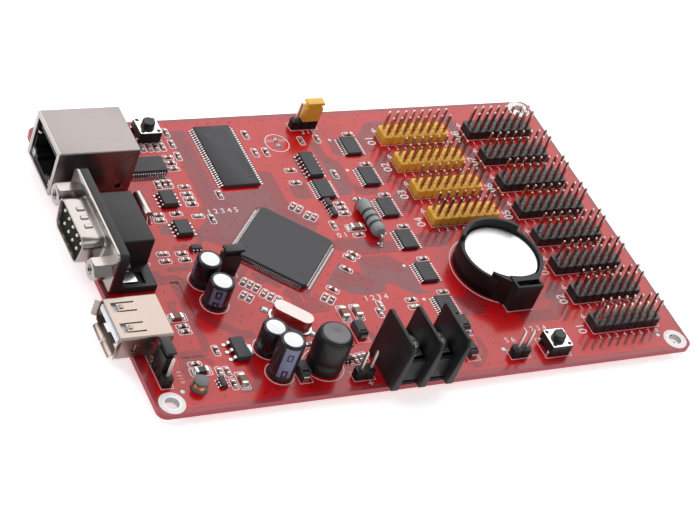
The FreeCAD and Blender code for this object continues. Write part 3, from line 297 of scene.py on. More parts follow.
BLACK_GLOSS = Moulded("black_cap_plastic", "black_plastic", (0.01, 0.01, 0.011), 0.34, 5.0, 0.006)
YELLOW = Moulded("yellow_moulding", "yellow_plastic", (0.8, 0.44, 0.055), 0.42, 6.0, 0.006, 0.05)
WHITE = Moulded("white_moulding", "white_plastic", (0.78, 0.8, 0.84), 0.4, 6.0, 0.006, 0.1)
DARK_GREY = Moulded("dark_grey_moulding", "grey_plastic", (0.014, 0.0145, 0.017), 0.42, 12.0, 0.01, shine=0.3)
EPOXY = Moulded("chip_epoxy", "chip_black", (0.052, 0.051, 0.056), 0.6, 14.0, 0.006)
CAN_SLEEVE = Moulded("can_sleeve", "can_aluminium", (0.012, 0.011, 0.016), 0.28, 2.0, 0.003)
CAN_STRIPE = Printed("can_stripe", "can_aluminium", (0.17, 0.18, 0.3), (0.13, 0.14, 0.24))
CAN_TOP = Printed("can_top", "can_aluminium", (0.93, 0.93, 0.94), (0.88, 0.88, 0.9))
SLEEVE = Moulded("coil_sleeve", "black_plastic", (0.01, 0.01, 0.011), 0.42, 1.5, 0.01)
FERRITE = Moulded("ferrite", "ferrite", (0.16, 0.16, 0.175), 0.5, 10.0, 0.02)
COPPER = Plated("copper_winding", "ferrite", (0.72, 0.3, 0.12), 0.3)
SHIELD = Plated("jack_sheet", "plated_steel", (0.28, 0.253, 0.25), 0.34, (1.0, 0.12, 1.0))
NICKEL = Plated("nickel_sheet", "plated_steel", (0.4, 0.37, 0.355), 0.24, (1.0, 0.2, 1.0), 0.0006)
USB_SHEET = Plated("usb_sheet", "plated_steel", (0.39, 0.32, 0.285), 0.3, (0.15, 1.0, 1.0), 0.001)
BRASS_NUT = Plated("plated_nut", "plated_brass", (0.42, 0.39, 0.375), 0.22)
SCREW_STEEL = Plated("screw_steel", "plated_steel", (0.75, 0.74, 0.72), 0.26)
TIN = Plated("tinned_lead", "solder", (0.62, 0.62, 0.63), 0.24)
# pale metal on the pin tops: a painted highlight, as light falls on them from above
PIN_TIP_HIGHLIGHT = Plated("painted_tip_highlight", "gold", (0.92, 0.86, 0.78), 0.35)
SMALL_PIN = Plated("small_pin", "gold", (0.72, 0.64, 0.62), 0.42)
PALE_GOLD = Plated("pale_gold_pin", "gold", (0.8, 0.7, 0.5), 0.3)
SOLDER = Plated("solder", "solder", (0.42, 0.42, 0.43), 0.24, depth=0.004)
GOLD = Plated("gold_pin", "gold", (0.5, 0.37, 0.33), 0.24, (1.0, 1.0, 0.2), 0.0004)
CELL_STEEL = Plated("cell_steel", "plated_steel", (0.96, 0.96, 0.96), 0.5, (0.2, 1.0, 1.0), 0.001, 0.98)
CLIP_STEEL = Plated("contact_steel", "plated_steel", (0.8, 0.8, 0.8), 0.2)
CRYSTAL = Plated("crystal_steel", "plated_steel", (0.45, 0.405, 0.395), 0.24, (1.0, 1.0, 0.3), 0.0004)
RESISTOR = Moulded("resistor_enamel", "resistor_grey", (0.27, 0.29, 0.3), 0.34, 4.0, 0.008)
BAND_DARK = Moulded("resistor_dark_band", "resistor_grey", (0.03, 0.03, 0.035), 0.34, 4.0, 0.006)
BAND_OCHRE = Moulded("resistor_ochre_band", "resistor_grey", (0.25, 0.15, 0.06), 0.34, 4.0, 0.006)
CERAMIC_TAN = Moulded("tan_ceramic", "ceramic", (0.24, 0.15, 0.1), 0.4, 6.0, 0.006)
CERAMIC_RUST = Moulded("rust_ceramic", "ceramic", (0.2, 0.085, 0.055), 0.4, 6.0, 0.006)
CERAMIC_DARK = Moulded("dark_ceramic", "ceramic", (0.025, 0.022, 0.025), 0.35, 6.0, 0.006)
LAMP = Clear("lamp_body", "light_pipe", (0.75, 0.68, 0.5))
LIGHT_GREEN = Clear("green_light_pipe", "light_pipe", (0.55, 0.62, 0.12))
LIGHT_PALE = Clear("pale_light_pipe", "light_pipe", (0.75, 0.78, 0.78))


@lru_cache(maxsize=None)
def material(finish: Finish) -> bpy.types.Material:
    """The material of a finish, made once."""
    return finish.make()


# ---------------------------------------------------------------- reading the CAD model


@dataclass(frozen=True)
class Site:
    """Where one solid stands: the middle of its foot, its turn, and its size along its own axes."""

    x: float
    y: float
    z: float
    turn: float
    length: float
    width: float
    height: float

    def matrix(self) -> Matrix:
        """The move from the origin to the site."""
        return Matrix.Translation((self.x, self.y, self.z)) @ Matrix.Rotation(self.turn, 4, "Z")


def cad(node: str) -> tuple[Vector, Vector]:
    """The lowest and highest corners of a CAD node, in millimetres."""
    low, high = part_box(node)
    return low / MM, high / MM


def islands(node: str) -> list[list[Vector]]:
    """The corner points of each separate solid in a CAD node, in millimetres."""
    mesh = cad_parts[node].data
    keys = [tuple(round(value, 7) for value in vertex.co) for vertex in mesh.vertices]
    parent: dict[Any, Any] = {key: key for key in keys}

    def root(key: Any) -> Any:
        """Follow the links to the first point of a solid."""
        while parent[key] != key:
            parent[key] = parent[parent[key]]
            key = parent[key]
        return key

    for face in mesh.polygons:
        first = root(keys[face.vertices[0]])
        for index in face.vertices[1:]:
            parent[root(keys[index])] = first
    groups: dict[Any, list[Vector]] = {}
    for key in parent:
        groups.setdefault(root(key), []).append(Vector(key) / MM)
    return sorted(groups.values(), key=lambda points: min((p.x, p.y) for p in points))


def site_of(points: Sequence[Vector]) -> Site:
    """The tightest box round a solid, square to the board or at 45 degrees to it."""
    best = None
    for turn in (0.0, math.pi / 4):
        spin = Matrix.Rotation(-turn, 3, "Z")
        turned = [spin @ point for point in points]
        low = [min(p[i] for p in turned) for i in range(3)]
        high = [max(p[i] for p in turned) for i in range(3)]
        area = (high[0] - low[0]) * (high[1] - low[1])
        if best is None or area < best[0] * 0.98:
            best = (area, turn, low, high)
    _, turn, low, high = best
    middle = Matrix.Rotation(turn, 3, "Z") @ Vector(((low[0] + high[0]) / 2, (low[1] + high[1]) / 2, 0))
    length, width = high[0] - low[0], high[1] - low[1]
    if width > length:
        length, width, turn = width, length, turn + math.pi / 2
    return Site(middle.x, middle.y, low[2], turn, length, width, high[2] - low[2])


def sites(node: str) -> list[Site]:
    """The site of each solid in a CAD node."""
    return [site_of(points) for points in islands(node)]


def crowned(node: str) -> list[Site]:
    """The site of each solid in a CAD node, as wide as its top face and standing on its foot."""
    found = []
    for points in islands(node):
        foot, top = min(p.z for p in points), max(p.z for p in points)
        site = site_of([p for p in points if p.z > top - 0.01])
        found.append(replace(site, z=foot, height=top - foot))
    return found


# ---------------------------------------------------------------- modelling


class Bench:
    """Shapes pieces with Blender's own modelling operators, in millimetres."""

    def only(self, *things: Thing) -> None:
        """Leave edit mode and select these objects alone, the first one active."""
        if bpy.context.object and bpy.context.object.mode != "OBJECT":
            bpy.ops.object.mode_set(mode="OBJECT")
        bpy.ops.object.select_all(action="DESELECT")
        for thing in things:
            thing.select_set(True)
        if things:
            bpy.context.view_layer.objects.active = things[0]

    def settle(self, thing: Thing) -> Thing:
        """Apply a thing's place, turn and size to its mesh."""
        self.only(thing)
        bpy.ops.object.transform_apply(location=True, rotation=True, scale=True)
        return thing

    def weld(self, thing: Thing) -> Thing:
        """Merge doubled points and turn all faces outwards."""
        self.only(thing)
        bpy.ops.object.mode_set(mode="EDIT")
        bpy.ops.mesh.select_all(action="SELECT")
        bpy.ops.mesh.remove_doubles(threshold=WELD)
        bpy.ops.mesh.normals_make_consistent(inside=False)
        bpy.ops.object.mode_set(mode="OBJECT")
        return thing

    def modify(self, thing: Thing, kind: str, **settings: Any) -> Thing:
        """Add a modifier, set it and apply it."""
        self.only(thing)
        item = thing.modifiers.new("Work", kind)
        for key, value in settings.items():
            setattr(item, key, value)
        bpy.ops.object.modifier_apply(modifier=item.name)
        return thing

    def soften(self, thing: Thing, width: float, steps: int = 2, angle: float = 30.0) -> Thing:
        """Round every edge sharper than an angle."""
        if width <= 0:
            return thing
        return self.modify(thing, "BEVEL", width=width, segments=steps, limit_method="ANGLE",
                           angle_limit=math.radians(angle))

    def block(self, low: Sequence[float], high: Sequence[float], edge: float = 0.0, steps: int = 2) -> Thing:
        """A block between two corners with softened edges."""
        self.only()
        bpy.ops.mesh.primitive_cube_add(size=1.0, location=[(a + b) / 2 for a, b in zip(low, high)],
                                        scale=[b - a for a, b in zip(low, high)])
        return self.soften(self.settle(bpy.context.object), edge, steps)

    def drum(self, start: Sequence[float], radius: float, length: float, way: Way = Way.Z, sides: int = 32,
             edge: float = 0.0, steps: int = 2) -> Thing:
        """A round bar that runs from a point along an axis, with softened rims."""
        self.only()
        middle = Vector(start) + {Way.X: Vector((1, 0, 0)), Way.Y: Vector((0, 1, 0)),
                                  Way.Z: Vector((0, 0, 1))}[way] * (length / 2)
        bpy.ops.mesh.primitive_cylinder_add(vertices=sides, radius=radius, depth=length, location=middle,
                                            rotation=way.value)
        return self.soften(self.settle(bpy.context.object), edge, steps)

    def ball(self, centre: Sequence[float], radius: float, flat: float = 1.0, sides: int = 16) -> Thing:
        """A ball, or a dome-like blob when it is flattened."""
        self.only()
        bpy.ops.mesh.primitive_uv_sphere_add(segments=sides, ring_count=sides // 2, radius=radius, location=centre,
                                             scale=(1.0, 1.0, flat))
        return self.settle(bpy.context.object)

    @staticmethod
    def curve(dimensions: str) -> bpy.types.Curve:
        """An empty flat or spatial curve."""
        curve = bpy.data.curves.new("curve", "CURVE")
        curve.dimensions = dimensions
        return curve

    @staticmethod
    def line(curve: bpy.types.Curve, points: Sequence[Sequence[float]], closed: bool,
             kind: str = "POLY") -> bpy.types.Spline:
        """Add a line through some points to a curve."""
        spline = curve.splines.new(kind)
        spline.points.add(len(points) - 1)
        for point, place in zip(spline.points, points):
            point.co = (*place, 1.0)
        spline.use_cyclic_u = closed
        return spline

    def mesh(self, data: Union[bpy.types.Curve, bpy.types.TextCurve]) -> Thing:
        """Link a curve or some text and turn it into a mesh."""
        thing = bpy.data.objects.new(data.name, data)
        bpy.context.scene.collection.objects.link(thing)
        self.only(thing)
        bpy.ops.object.convert(target="MESH")
        return bpy.context.object

    def slab(self, outline: Flat, bottom: float, top: float, holes: Sequence[Flat] = (), edge: float = 0.0,
             steps: int = 2) -> Thing:
        """A flat outline, with holes, drawn up from one height to another."""
        curve = self.curve("2D")
        curve.fill_mode = "BOTH"
        curve.extrude = (top - bottom) / 2
        for loop in (outline, *holes):
            self.line(curve, [(x, y, 0.0) for x, y in loop], True)
        thing = self.mesh(curve)
        thing.location.z = (top + bottom) / 2
        return self.soften(self.weld(self.settle(thing)), edge, steps)

    def side(self, outline: Flat, front: float, back: float, edge: float = 0.0, steps: int = 2) -> Thing:
        """An outline in X and Z drawn from one Y to another."""
        thing = self.slab(outline, -back, -front)
        thing.data.transform(Matrix.Rotation(math.pi / 2, 4, "X"))
        return self.soften(thing, edge, steps)

    def facing(self, outline: Flat, left: float, right: float, holes: Sequence[Flat] = (), edge: float = 0.0,
               steps: int = 2) -> Thing:
        """An outline in Y and Z drawn from one X to another."""
        thing = self.slab(outline, left, right, holes)
        thing.data.transform(Matrix(((0, 0, 1, 0), (1, 0, 0, 0), (0, 1, 0, 0), (0, 0, 0, 1))))
        return self.soften(thing, edge, steps)

    def turned(self, profile: Flat, centre: Sequence[float], steps: int = 32, way: Way = Way.Z) -> Thing:
        """A profile of (radius, height) pairs spun about an axis through a point."""
        self.only()
        bpy.ops.mesh.primitive_circle_add(vertices=len(profile), radius=1.0)
        thing = bpy.context.object
        for vertex, (radius, height) in zip(thing.data.vertices, profile):
            vertex.co = (radius, 0.0, height)
        bpy.ops.object.mode_set(mode="EDIT")
        bpy.ops.mesh.select_all(action="SELECT")
        bpy.ops.mesh.spin(steps=steps, angle=math.radians(360.0), center=(0, 0, 0), axis=(0, 0, 1))
        bpy.ops.object.mode_set(mode="OBJECT")
        thing.rotation_euler = way.value
        thing.location = centre
        return self.weld(self.settle(thing))

    def strand(self, points: Sequence[Sequence[float]], radius: float, sides: int = 2,
               smooth: bool = False) -> Thing:
        """A round wire through some points, with closed ends."""
        curve = self.curve("3D")
        curve.bevel_depth = radius
        curve.bevel_resolution = sides
        curve.use_fill_caps = True
        spline = self.line(curve, points, False, "NURBS" if smooth else "POLY")
        if smooth:
            spline.order_u = 3
            spline.use_endpoint_u = True
        return self.weld(self.mesh(curve))

    def ribbons(self, paths: Iterable[Flat], width: float, bottom: float, top: float,
                closed: bool = False) -> Thing:
        """Flat strips of one width that follow paths on the board."""
        rim = self.curve("2D")
        half, rise = width / 2, (top - bottom) / 2
        self.line(rim, [(-half, -rise, 0.0), (half, -rise, 0.0), (half, rise, 0.0), (-half, rise, 0.0)], True)
        section = bpy.data.objects.new("section", rim)
        bpy.context.scene.collection.objects.link(section)
        curve = self.curve("3D")
        curve.twist_mode = "Z_UP"
        curve.bevel_mode = "OBJECT"
        curve.bevel_object = section
        curve.use_fill_caps = not closed
        for path in paths:
            self.line(curve, [(x, y, (top + bottom) / 2) for x, y in path], closed)
        thing = self.mesh(curve)
        bpy.data.objects.remove(section)
        return self.weld(thing)

    def words(self, text: str, size: float, x: float, y: float, bottom: float, top: float,
              turn: float = 0.0) -> Thing:
        """A plain number in thin raised ink."""
        curve = bpy.data.curves.new("words", "FONT")
        curve.body = text
        curve.size = size
        curve.align_x = "CENTER"
        curve.align_y = "CENTER"
        curve.extrude = (top - bottom) / 2
        thing = self.mesh(curve)
        thing.rotation_euler.z = turn
        thing.location = (x, y, (top + bottom) / 2)
        return self.weld(self.settle(thing))

    def pick(self, thing: Thing, way: Vector) -> None:
        """Enter edit mode with only the faces selected that look along a direction."""
        self.only(thing)
        bpy.ops.object.mode_set(mode="EDIT")
        bpy.ops.mesh.select_mode(type="FACE")
        bpy.ops.mesh.select_all(action="DESELECT")
        mesh = bmesh.from_edit_mesh(thing.data)
        for face in mesh.faces:
            face.select_set(face.normal.dot(way) > FACING)
        bmesh.update_edit_mesh(thing.data)

    def push(self, thing: Thing, way: Vector, move: Sequence[float]) -> Thing:
        """Extrude the faces that look along a direction."""
        self.pick(thing, way)
        bpy.ops.mesh.extrude_region_move(TRANSFORM_OT_translate={"value": tuple(move)})
        bpy.ops.object.mode_set(mode="OBJECT")
        return thing

    def shrink(self, thing: Thing, way: Vector, share: Sequence[float], centre: Sequence[float]) -> Thing:
        """Scale the faces that look along a direction about a point, for a draft or a taper."""
        self.pick(thing, way)
        bpy.ops.transform.resize(value=tuple(share), center_override=tuple(centre))
        bpy.ops.object.mode_set(mode="OBJECT")
        return thing

    def cut(self, thing: Thing, *tools: Thing) -> Thing:
        """Take tools out of a thing."""
        for tool in tools:
            self.modify(thing, "BOOLEAN", operation="DIFFERENCE", solver="EXACT", object=tool)
            bpy.data.objects.remove(tool)
        return thing

    def join(self, things: Sequence[Thing]) -> Thing:
        """Make one mesh of several."""
        self.only(*things)
        if len(things) > 1:
            bpy.ops.object.join()
        return bpy.context.object

    @staticmethod
    def move(thing: Thing, place: Matrix) -> Thing:
        """A thing's mesh, moved and turned."""
        thing.data.transform(place)
        return thing

    def strew(self, thing: Thing, places: Iterable[Matrix]) -> Thing:
        """One mesh with a copy of a thing at every place; the thing itself goes."""
        copies = [self.twin(thing, place) for place in places]
        bpy.data.objects.remove(thing)
        return self.join(copies)

    @staticmethod
    def twin(thing: Thing, place: Matrix) -> Thing:
        """A copy of a thing at a place."""
        twin = thing.copy()
        twin.data = thing.data.copy()
        twin.data.transform(place)
        bpy.context.scene.collection.objects.link(twin)
        return twin

    def finish(self, things: Union[Thing, list[Thing]], name: str, finish: Finish, body: str = "board",
               replaces: Sequence[str] = (), angle: float = 35.0) -> Thing:
        """Name a piece, bring it to metres, dress it and let it ride on a body.

        Args:
            things: the piece, or what is joined to make it.
            name: its name.
            finish: the finish it wears.
            body: the CAD body it moves with.
            replaces: the CAD nodes it stands for.
            angle: edges flatter than this are shaded smooth, in degrees.

        Returns:
            The finished piece.
        """
        thing = self.join(things) if isinstance(things, list) else things
        thing.data.transform(Matrix.Scale(MM, 4))
        thing.name = name
        thing.data.name = name
        thing.data.materials.clear()
        thing.data.materials.append(material(finish))
        self.only(thing)
        bpy.ops.object.shade_smooth_by_angle(angle=math.radians(angle))
        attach(thing, body)
        if replaces:
            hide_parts(*replaces)
        LOG.info("%s: %d faces on %s", name, len(thing.data.polygons), body)
        return thing


BENCH = Bench()


def ring(x: float, y: float, radius: float, sides: int = 24, start: float = 0.0, sweep: float = 360.0) -> Outline:
    """Points round a circle, or along an arc of it."""
    whole = abs(sweep - 360.0) < 1e-6
    count = sides if whole else sides + 1
    turns = [math.radians(start + sweep * i / sides) for i in range(count)]
    return [(x + radius * math.cos(turn), y + radius * math.sin(turn)) for turn in turns]


def frame_of(x: float, y: float, length: float, width: float, turn: float = 0.0,
             corner: float = 0.0, sides: int = 4) -> Outline:
    """The outline of a rectangle, with round corners where a radius is given."""
    half_x, half_y = length / 2 - corner, width / 2 - corner
    points: list[tuple[float, float]] = []
    for quarter, (sx, sy) in enumerate(((1, 1), (-1, 1), (-1, -1), (1, -1))):
        if corner > 0:
            points += ring(sx * half_x, sy * half_y, corner, sides, 90.0 * quarter, 90.0)
        else:
            points.append((sx * half_x, sy * half_y))
    spin = Matrix.Rotation(turn, 2)
    return [(x + (spin @ Vector(p)).x, y + (spin @ Vector(p)).y) for p in points]


def at(x: float, y: float, z: float = 0.0, turn: float = 0.0) -> Matrix:
    """A move to a point after a turn about Z, in radians."""
    return Matrix.Translation((x, y, z)) @ Matrix.Rotation(turn, 4, "Z")


def middle(low: Vector, high: Vector) -> tuple[float, float]:
    """The middle of a box, seen from above."""
    return (low.x + high.x) / 2, (low.y + high.y) / 2


def prong(x: float, half: float, tip: float, top: float, shoulder: float = -1.0) -> Outline:
    """The outline of a tab through the board: its middle, half its width, half its tip's width and its heights."""
    return [(x - half, top), (x - half, shoulder), (x - tip, PRONG_END), (x + tip, PRONG_END), (x + half, shoulder),
            (x + half, top)]


def arc_band(inner: float, outer: float, start: float, sweep: float, sides: int = 10) -> Outline:
    """The outline of a strip between two radii, over part of a turn."""
    return ring(0, 0, outer, sides, start, sweep) + ring(0, 0, inner, sides, start, sweep)[::-1]


def spread(count: int, step: float) -> list[float]:
    """Places of a centred row."""
    return [(index - (count - 1) / 2) * step for index in range(count)]


# ---------------------------------------------------------------- stage


@dataclass(frozen=True)
class Paper:
    """The pale studio floor."""

    name: str = "studio_paper"
    colour: Colour = (0.9, 0.9, 0.9)
    glow: float = 0.55

    def make(self) -> bpy.types.Material:
        """Matt paper with the faintest tooth, lit from below like a light table."""
        mix = Recipe(self.name)
        tooth = mix.noise(0.4, 3.0)
        return mix.shade(base_color=mix.mix(tooth, tone(self.colour, 0.98), self.colour), roughness=0.8,
                         emission_color=(1.0, 1.0, 1.0), emission_strength=self.glow)


@dataclass
class Stage:
    """The floor, the soft lights and the camera that matches the photograph."""

    floor_height: float = -1.5
    floor_size: float = 6000.0
    floor_corner: float = 200.0
    floor_thick: float = 2.0
    air: float = 0.35
    lens: float = 106.242
    sensor: float = 36.0
    camera_place: tuple[float, float, float] = (-262.1699, -306.3037, 329.6146)
    camera_right: tuple[float, float, float] = (0.86389109, -0.40297588, 0.30216324)
    camera_down: tuple[float, float, float] = (-0.08189005, -0.70430376, -0.70515972)
    camera_ahead: tuple[float, float, float] = (0.49697706, 0.58443704, -0.64144146)
    # place, aim, width, height in metres, watts, colour
    lamps: tuple[tuple[Any, ...], ...] = (
        ((0.8, 0.95, 1.12), (0, 0.02, 0), 2.1, 1.9, 26.0, (1.0, 0.985, 0.97)),
        ((-0.9, 0.55, 1.0), (0, 0, 0), 0.9, 0.9, 7.0, (0.98, 0.99, 1.0)),
        ((0.3, -1.1, 1.0), (0, 0, 0), 1.0, 0.8, 3.0, (1.0, 0.99, 0.98)),
    )

    def lay_floor(self) -> None:
        """A wide sheet just under the soldered pins."""
        outline = frame_of(0, 0, self.floor_size, self.floor_size, corner=self.floor_corner)
        sheet = BENCH.slab(outline, self.floor_height - self.floor_thick, self.floor_height)
        sheet.data.transform(Matrix.Scale(MM, 4))
        sheet.name = "studio_floor"
        sheet.data.materials.append(material(Paper()))

    def hang_lamps(self) -> None:
        """Large area lamps and an even pale surround."""
        for index, (place, aim, width, height, watts, colour) in enumerate(self.lamps, start=1):
            lamp = bpy.data.lights.new(f"softbox_{index}", "AREA")
            lamp.shape = "RECTANGLE"
            lamp.size, lamp.size_y = width, height
            lamp.energy = watts
            lamp.color = colour
            thing = bpy.data.objects.new(lamp.name, lamp)
            thing.location = place
            thing.rotation_euler = (Vector(aim) - Vector(place)).to_track_quat("-Z", "Y").to_euler()
            bpy.context.scene.collection.objects.link(thing)
        world = bpy.data.worlds.new("studio_air")
        world.use_nodes = True
        inputs = world.node_tree.nodes["Background"].inputs
        inputs["Color"].default_value = (1.0, 1.0, 1.0, 1.0)
        inputs["Strength"].default_value = self.air
        bpy.context.scene.world = world
        bpy.context.scene.view_settings.view_transform = "Standard"

    def set_camera(self) -> None:
        """The viewpoint fitted to the pin grid of the photograph."""
        camera = bpy.data.cameras.new("camera")
        camera.lens = self.lens
        camera.sensor_width = self.sensor
        camera.clip_start = 0.01
        thing = bpy.data.objects.new("camera", camera)
        right, down, ahead = (Vector(axis) for axis in (self.camera_right, self.camera_down, self.camera_ahead))
        turn = Matrix((right, -down, -ahead)).transposed().to_4x4()
        thing.matrix_world = Matrix.Translation(Vector(self.camera_place) * MM) @ turn
        bpy.context.scene.collection.objects.link(thing)
        bpy.context.scene.camera = thing

    def build(self) -> None:
        """Set the whole stage."""
        self.lay_floor()
        self.hang_lamps()
        self.set_camera()


# ---------------------------------------------------------------- board


# the round aiming marks that a placing machine looks for
AIMS = ((-67.3, -41.6), (19.9, -40.8), (66.8, -42.4))
HOLE_RADIUS = 1.8
# how far the mounting holes are from the board's ends and from its sides
HOLE_SET = (4.0, 3.25)


def mounting_holes() -> Outline:
    """The middles of the four mounting holes."""
    low, high = cad("circuit_board")
    x, y = (high.x - low.x) / 2 - HOLE_SET[0], (high.y - low.y) / 2 - HOLE_SET[1]
    return [(sx * x, sy * y) for sx, sy in CORNERS]


@dataclass
class Board:
    """The laminate with its openings, its resist and the copper poured over both faces."""

    border: float = 1.2
    corner: float = 2.5
    pour_corner: float = 1.4
    copper_rise: float = 0.02
    aim_clearance: float = 0.98

    def __post_init__(self) -> None:
        """Read the slab's size from the CAD model."""
        low, high = cad("circuit_board")
        self.length, self.width = high.x - low.x, high.y - low.y
        self.top = high.z
        self.bottom = low.z
        self.holes = mounting_holes()

    def lay_slab(self) -> None:
        """The laminate with its holes, resist above and below, darker at its sawn edge."""
        outline = frame_of(0, 0, self.length, self.width, corner=self.corner, sides=8)
        rings = [ring(x, y, HOLE_RADIUS, 32) for x, y in self.holes]
        slab = BENCH.slab(outline, self.bottom, self.top, rings + self.slots())
        BENCH.finish(slab, "circuit_board_slab", LAMINATE, replaces=["circuit_board"])
        slab.data.materials.append(material(BOARD_EDGE))
        for face in slab.data.polygons:
            if abs(face.normal.z) < 0.5:
                face.material_index = 1

    def slots(self) -> list[Outline]:
        """Openings for the pegs, tabs, clips and legs that pass through the board."""
        jack, usb, serial = cad("network_jack_insert"), cad("usb_shell"), cad("serial_housing")
        jack_y, usb_y, serial_y = ((a.y + b.y) / 2 for a, b in (jack, usb, serial))
        holes = []
        for sign in (1, -1):
            holes.append(ring(jack[1].x - 5.7, jack_y + sign * 5.7, 1.8, 16))
            holes.append(frame_of(usb[0].x + 1.2 + 8.5, usb_y + sign * 6.4, 2.0, 0.7))
            holes.append(frame_of(serial[1].x - 4.8, serial_y + sign * 12.5, 0.9, 2.0))
        for solid in islands("button_cases"):
            low_x, high_x = min(p.x for p in solid), max(p.x for p in solid)
            middle = sum(p.y for p in solid) / len(solid)
            for x in (low_x + 0.15, high_x - 0.15):
                for sign in (1, -1):
                    holes.append(frame_of(x, middle + sign * 2.25, 0.7, 1.1))
        return holes

    def pour_copper(self) -> None:
        """Copper areas under the resist, brighter than the bare border."""
        half_x, half_y = self.length / 2 - self.border, self.width / 2 - self.border
        outline = frame_of(0, 0, 2 * half_x, 2 * half_y, corner=self.pour_corner, sides=6)
        rings = [ring(x, y, HOLE_RADIUS, 32) for x, y in self.holes]
        rings += [ring(x, y, self.aim_clearance, 20) for x, y in AIMS]
        pour = BENCH.slab(outline, self.top, self.top + self.copper_rise, rings)
        BENCH.finish(pour, "copper_pour_top", POUR)
        under = BENCH.slab(outline, self.bottom - self.copper_rise, self.bottom, rings)
        BENCH.finish(under, "copper_pour_under", POUR)

    def build(self) -> None:
        """Make the whole bare board."""
        self.lay_slab()
        self.pour_copper()


# ---------------------------------------------------------------- copper and ink on the board


def beside(path: Flat, offset: float) -> Outline:
    """A path moved sideways by an offset, with its corners kept sharp."""
    points = [Vector(point) for point in path]
    steps = [(b - a).normalized() for a, b in zip(points, points[1:])]
    moved = []
    for index, point in enumerate(points):
        before, after = steps[max(index - 1, 0)], steps[min(index, len(steps) - 1)]
        middle = (Vector((-before.y, before.x)) + Vector((-after.y, after.x))).normalized()
        moved.append(point + middle * (offset / max(0.35, middle.dot(Vector((-after.y, after.x))))))
    return [(point.x, point.y) for point in moved]


@dataclass(frozen=True)
class Bundle:
    """Tracks that run side by side along one path."""

    count: int
    step: float
    path: tuple[tuple[float, float], ...]

    def lanes(self) -> list[Outline]:
        """The middle line of each track."""
        return [beside(self.path, offset) for offset in spread(self.count, self.step)]

    def gaps(self) -> list[Outline]:
        """The middle line of each gap between the tracks and outside them."""
        return [beside(self.path, offset) for offset in spread(self.count + 1, self.step)]


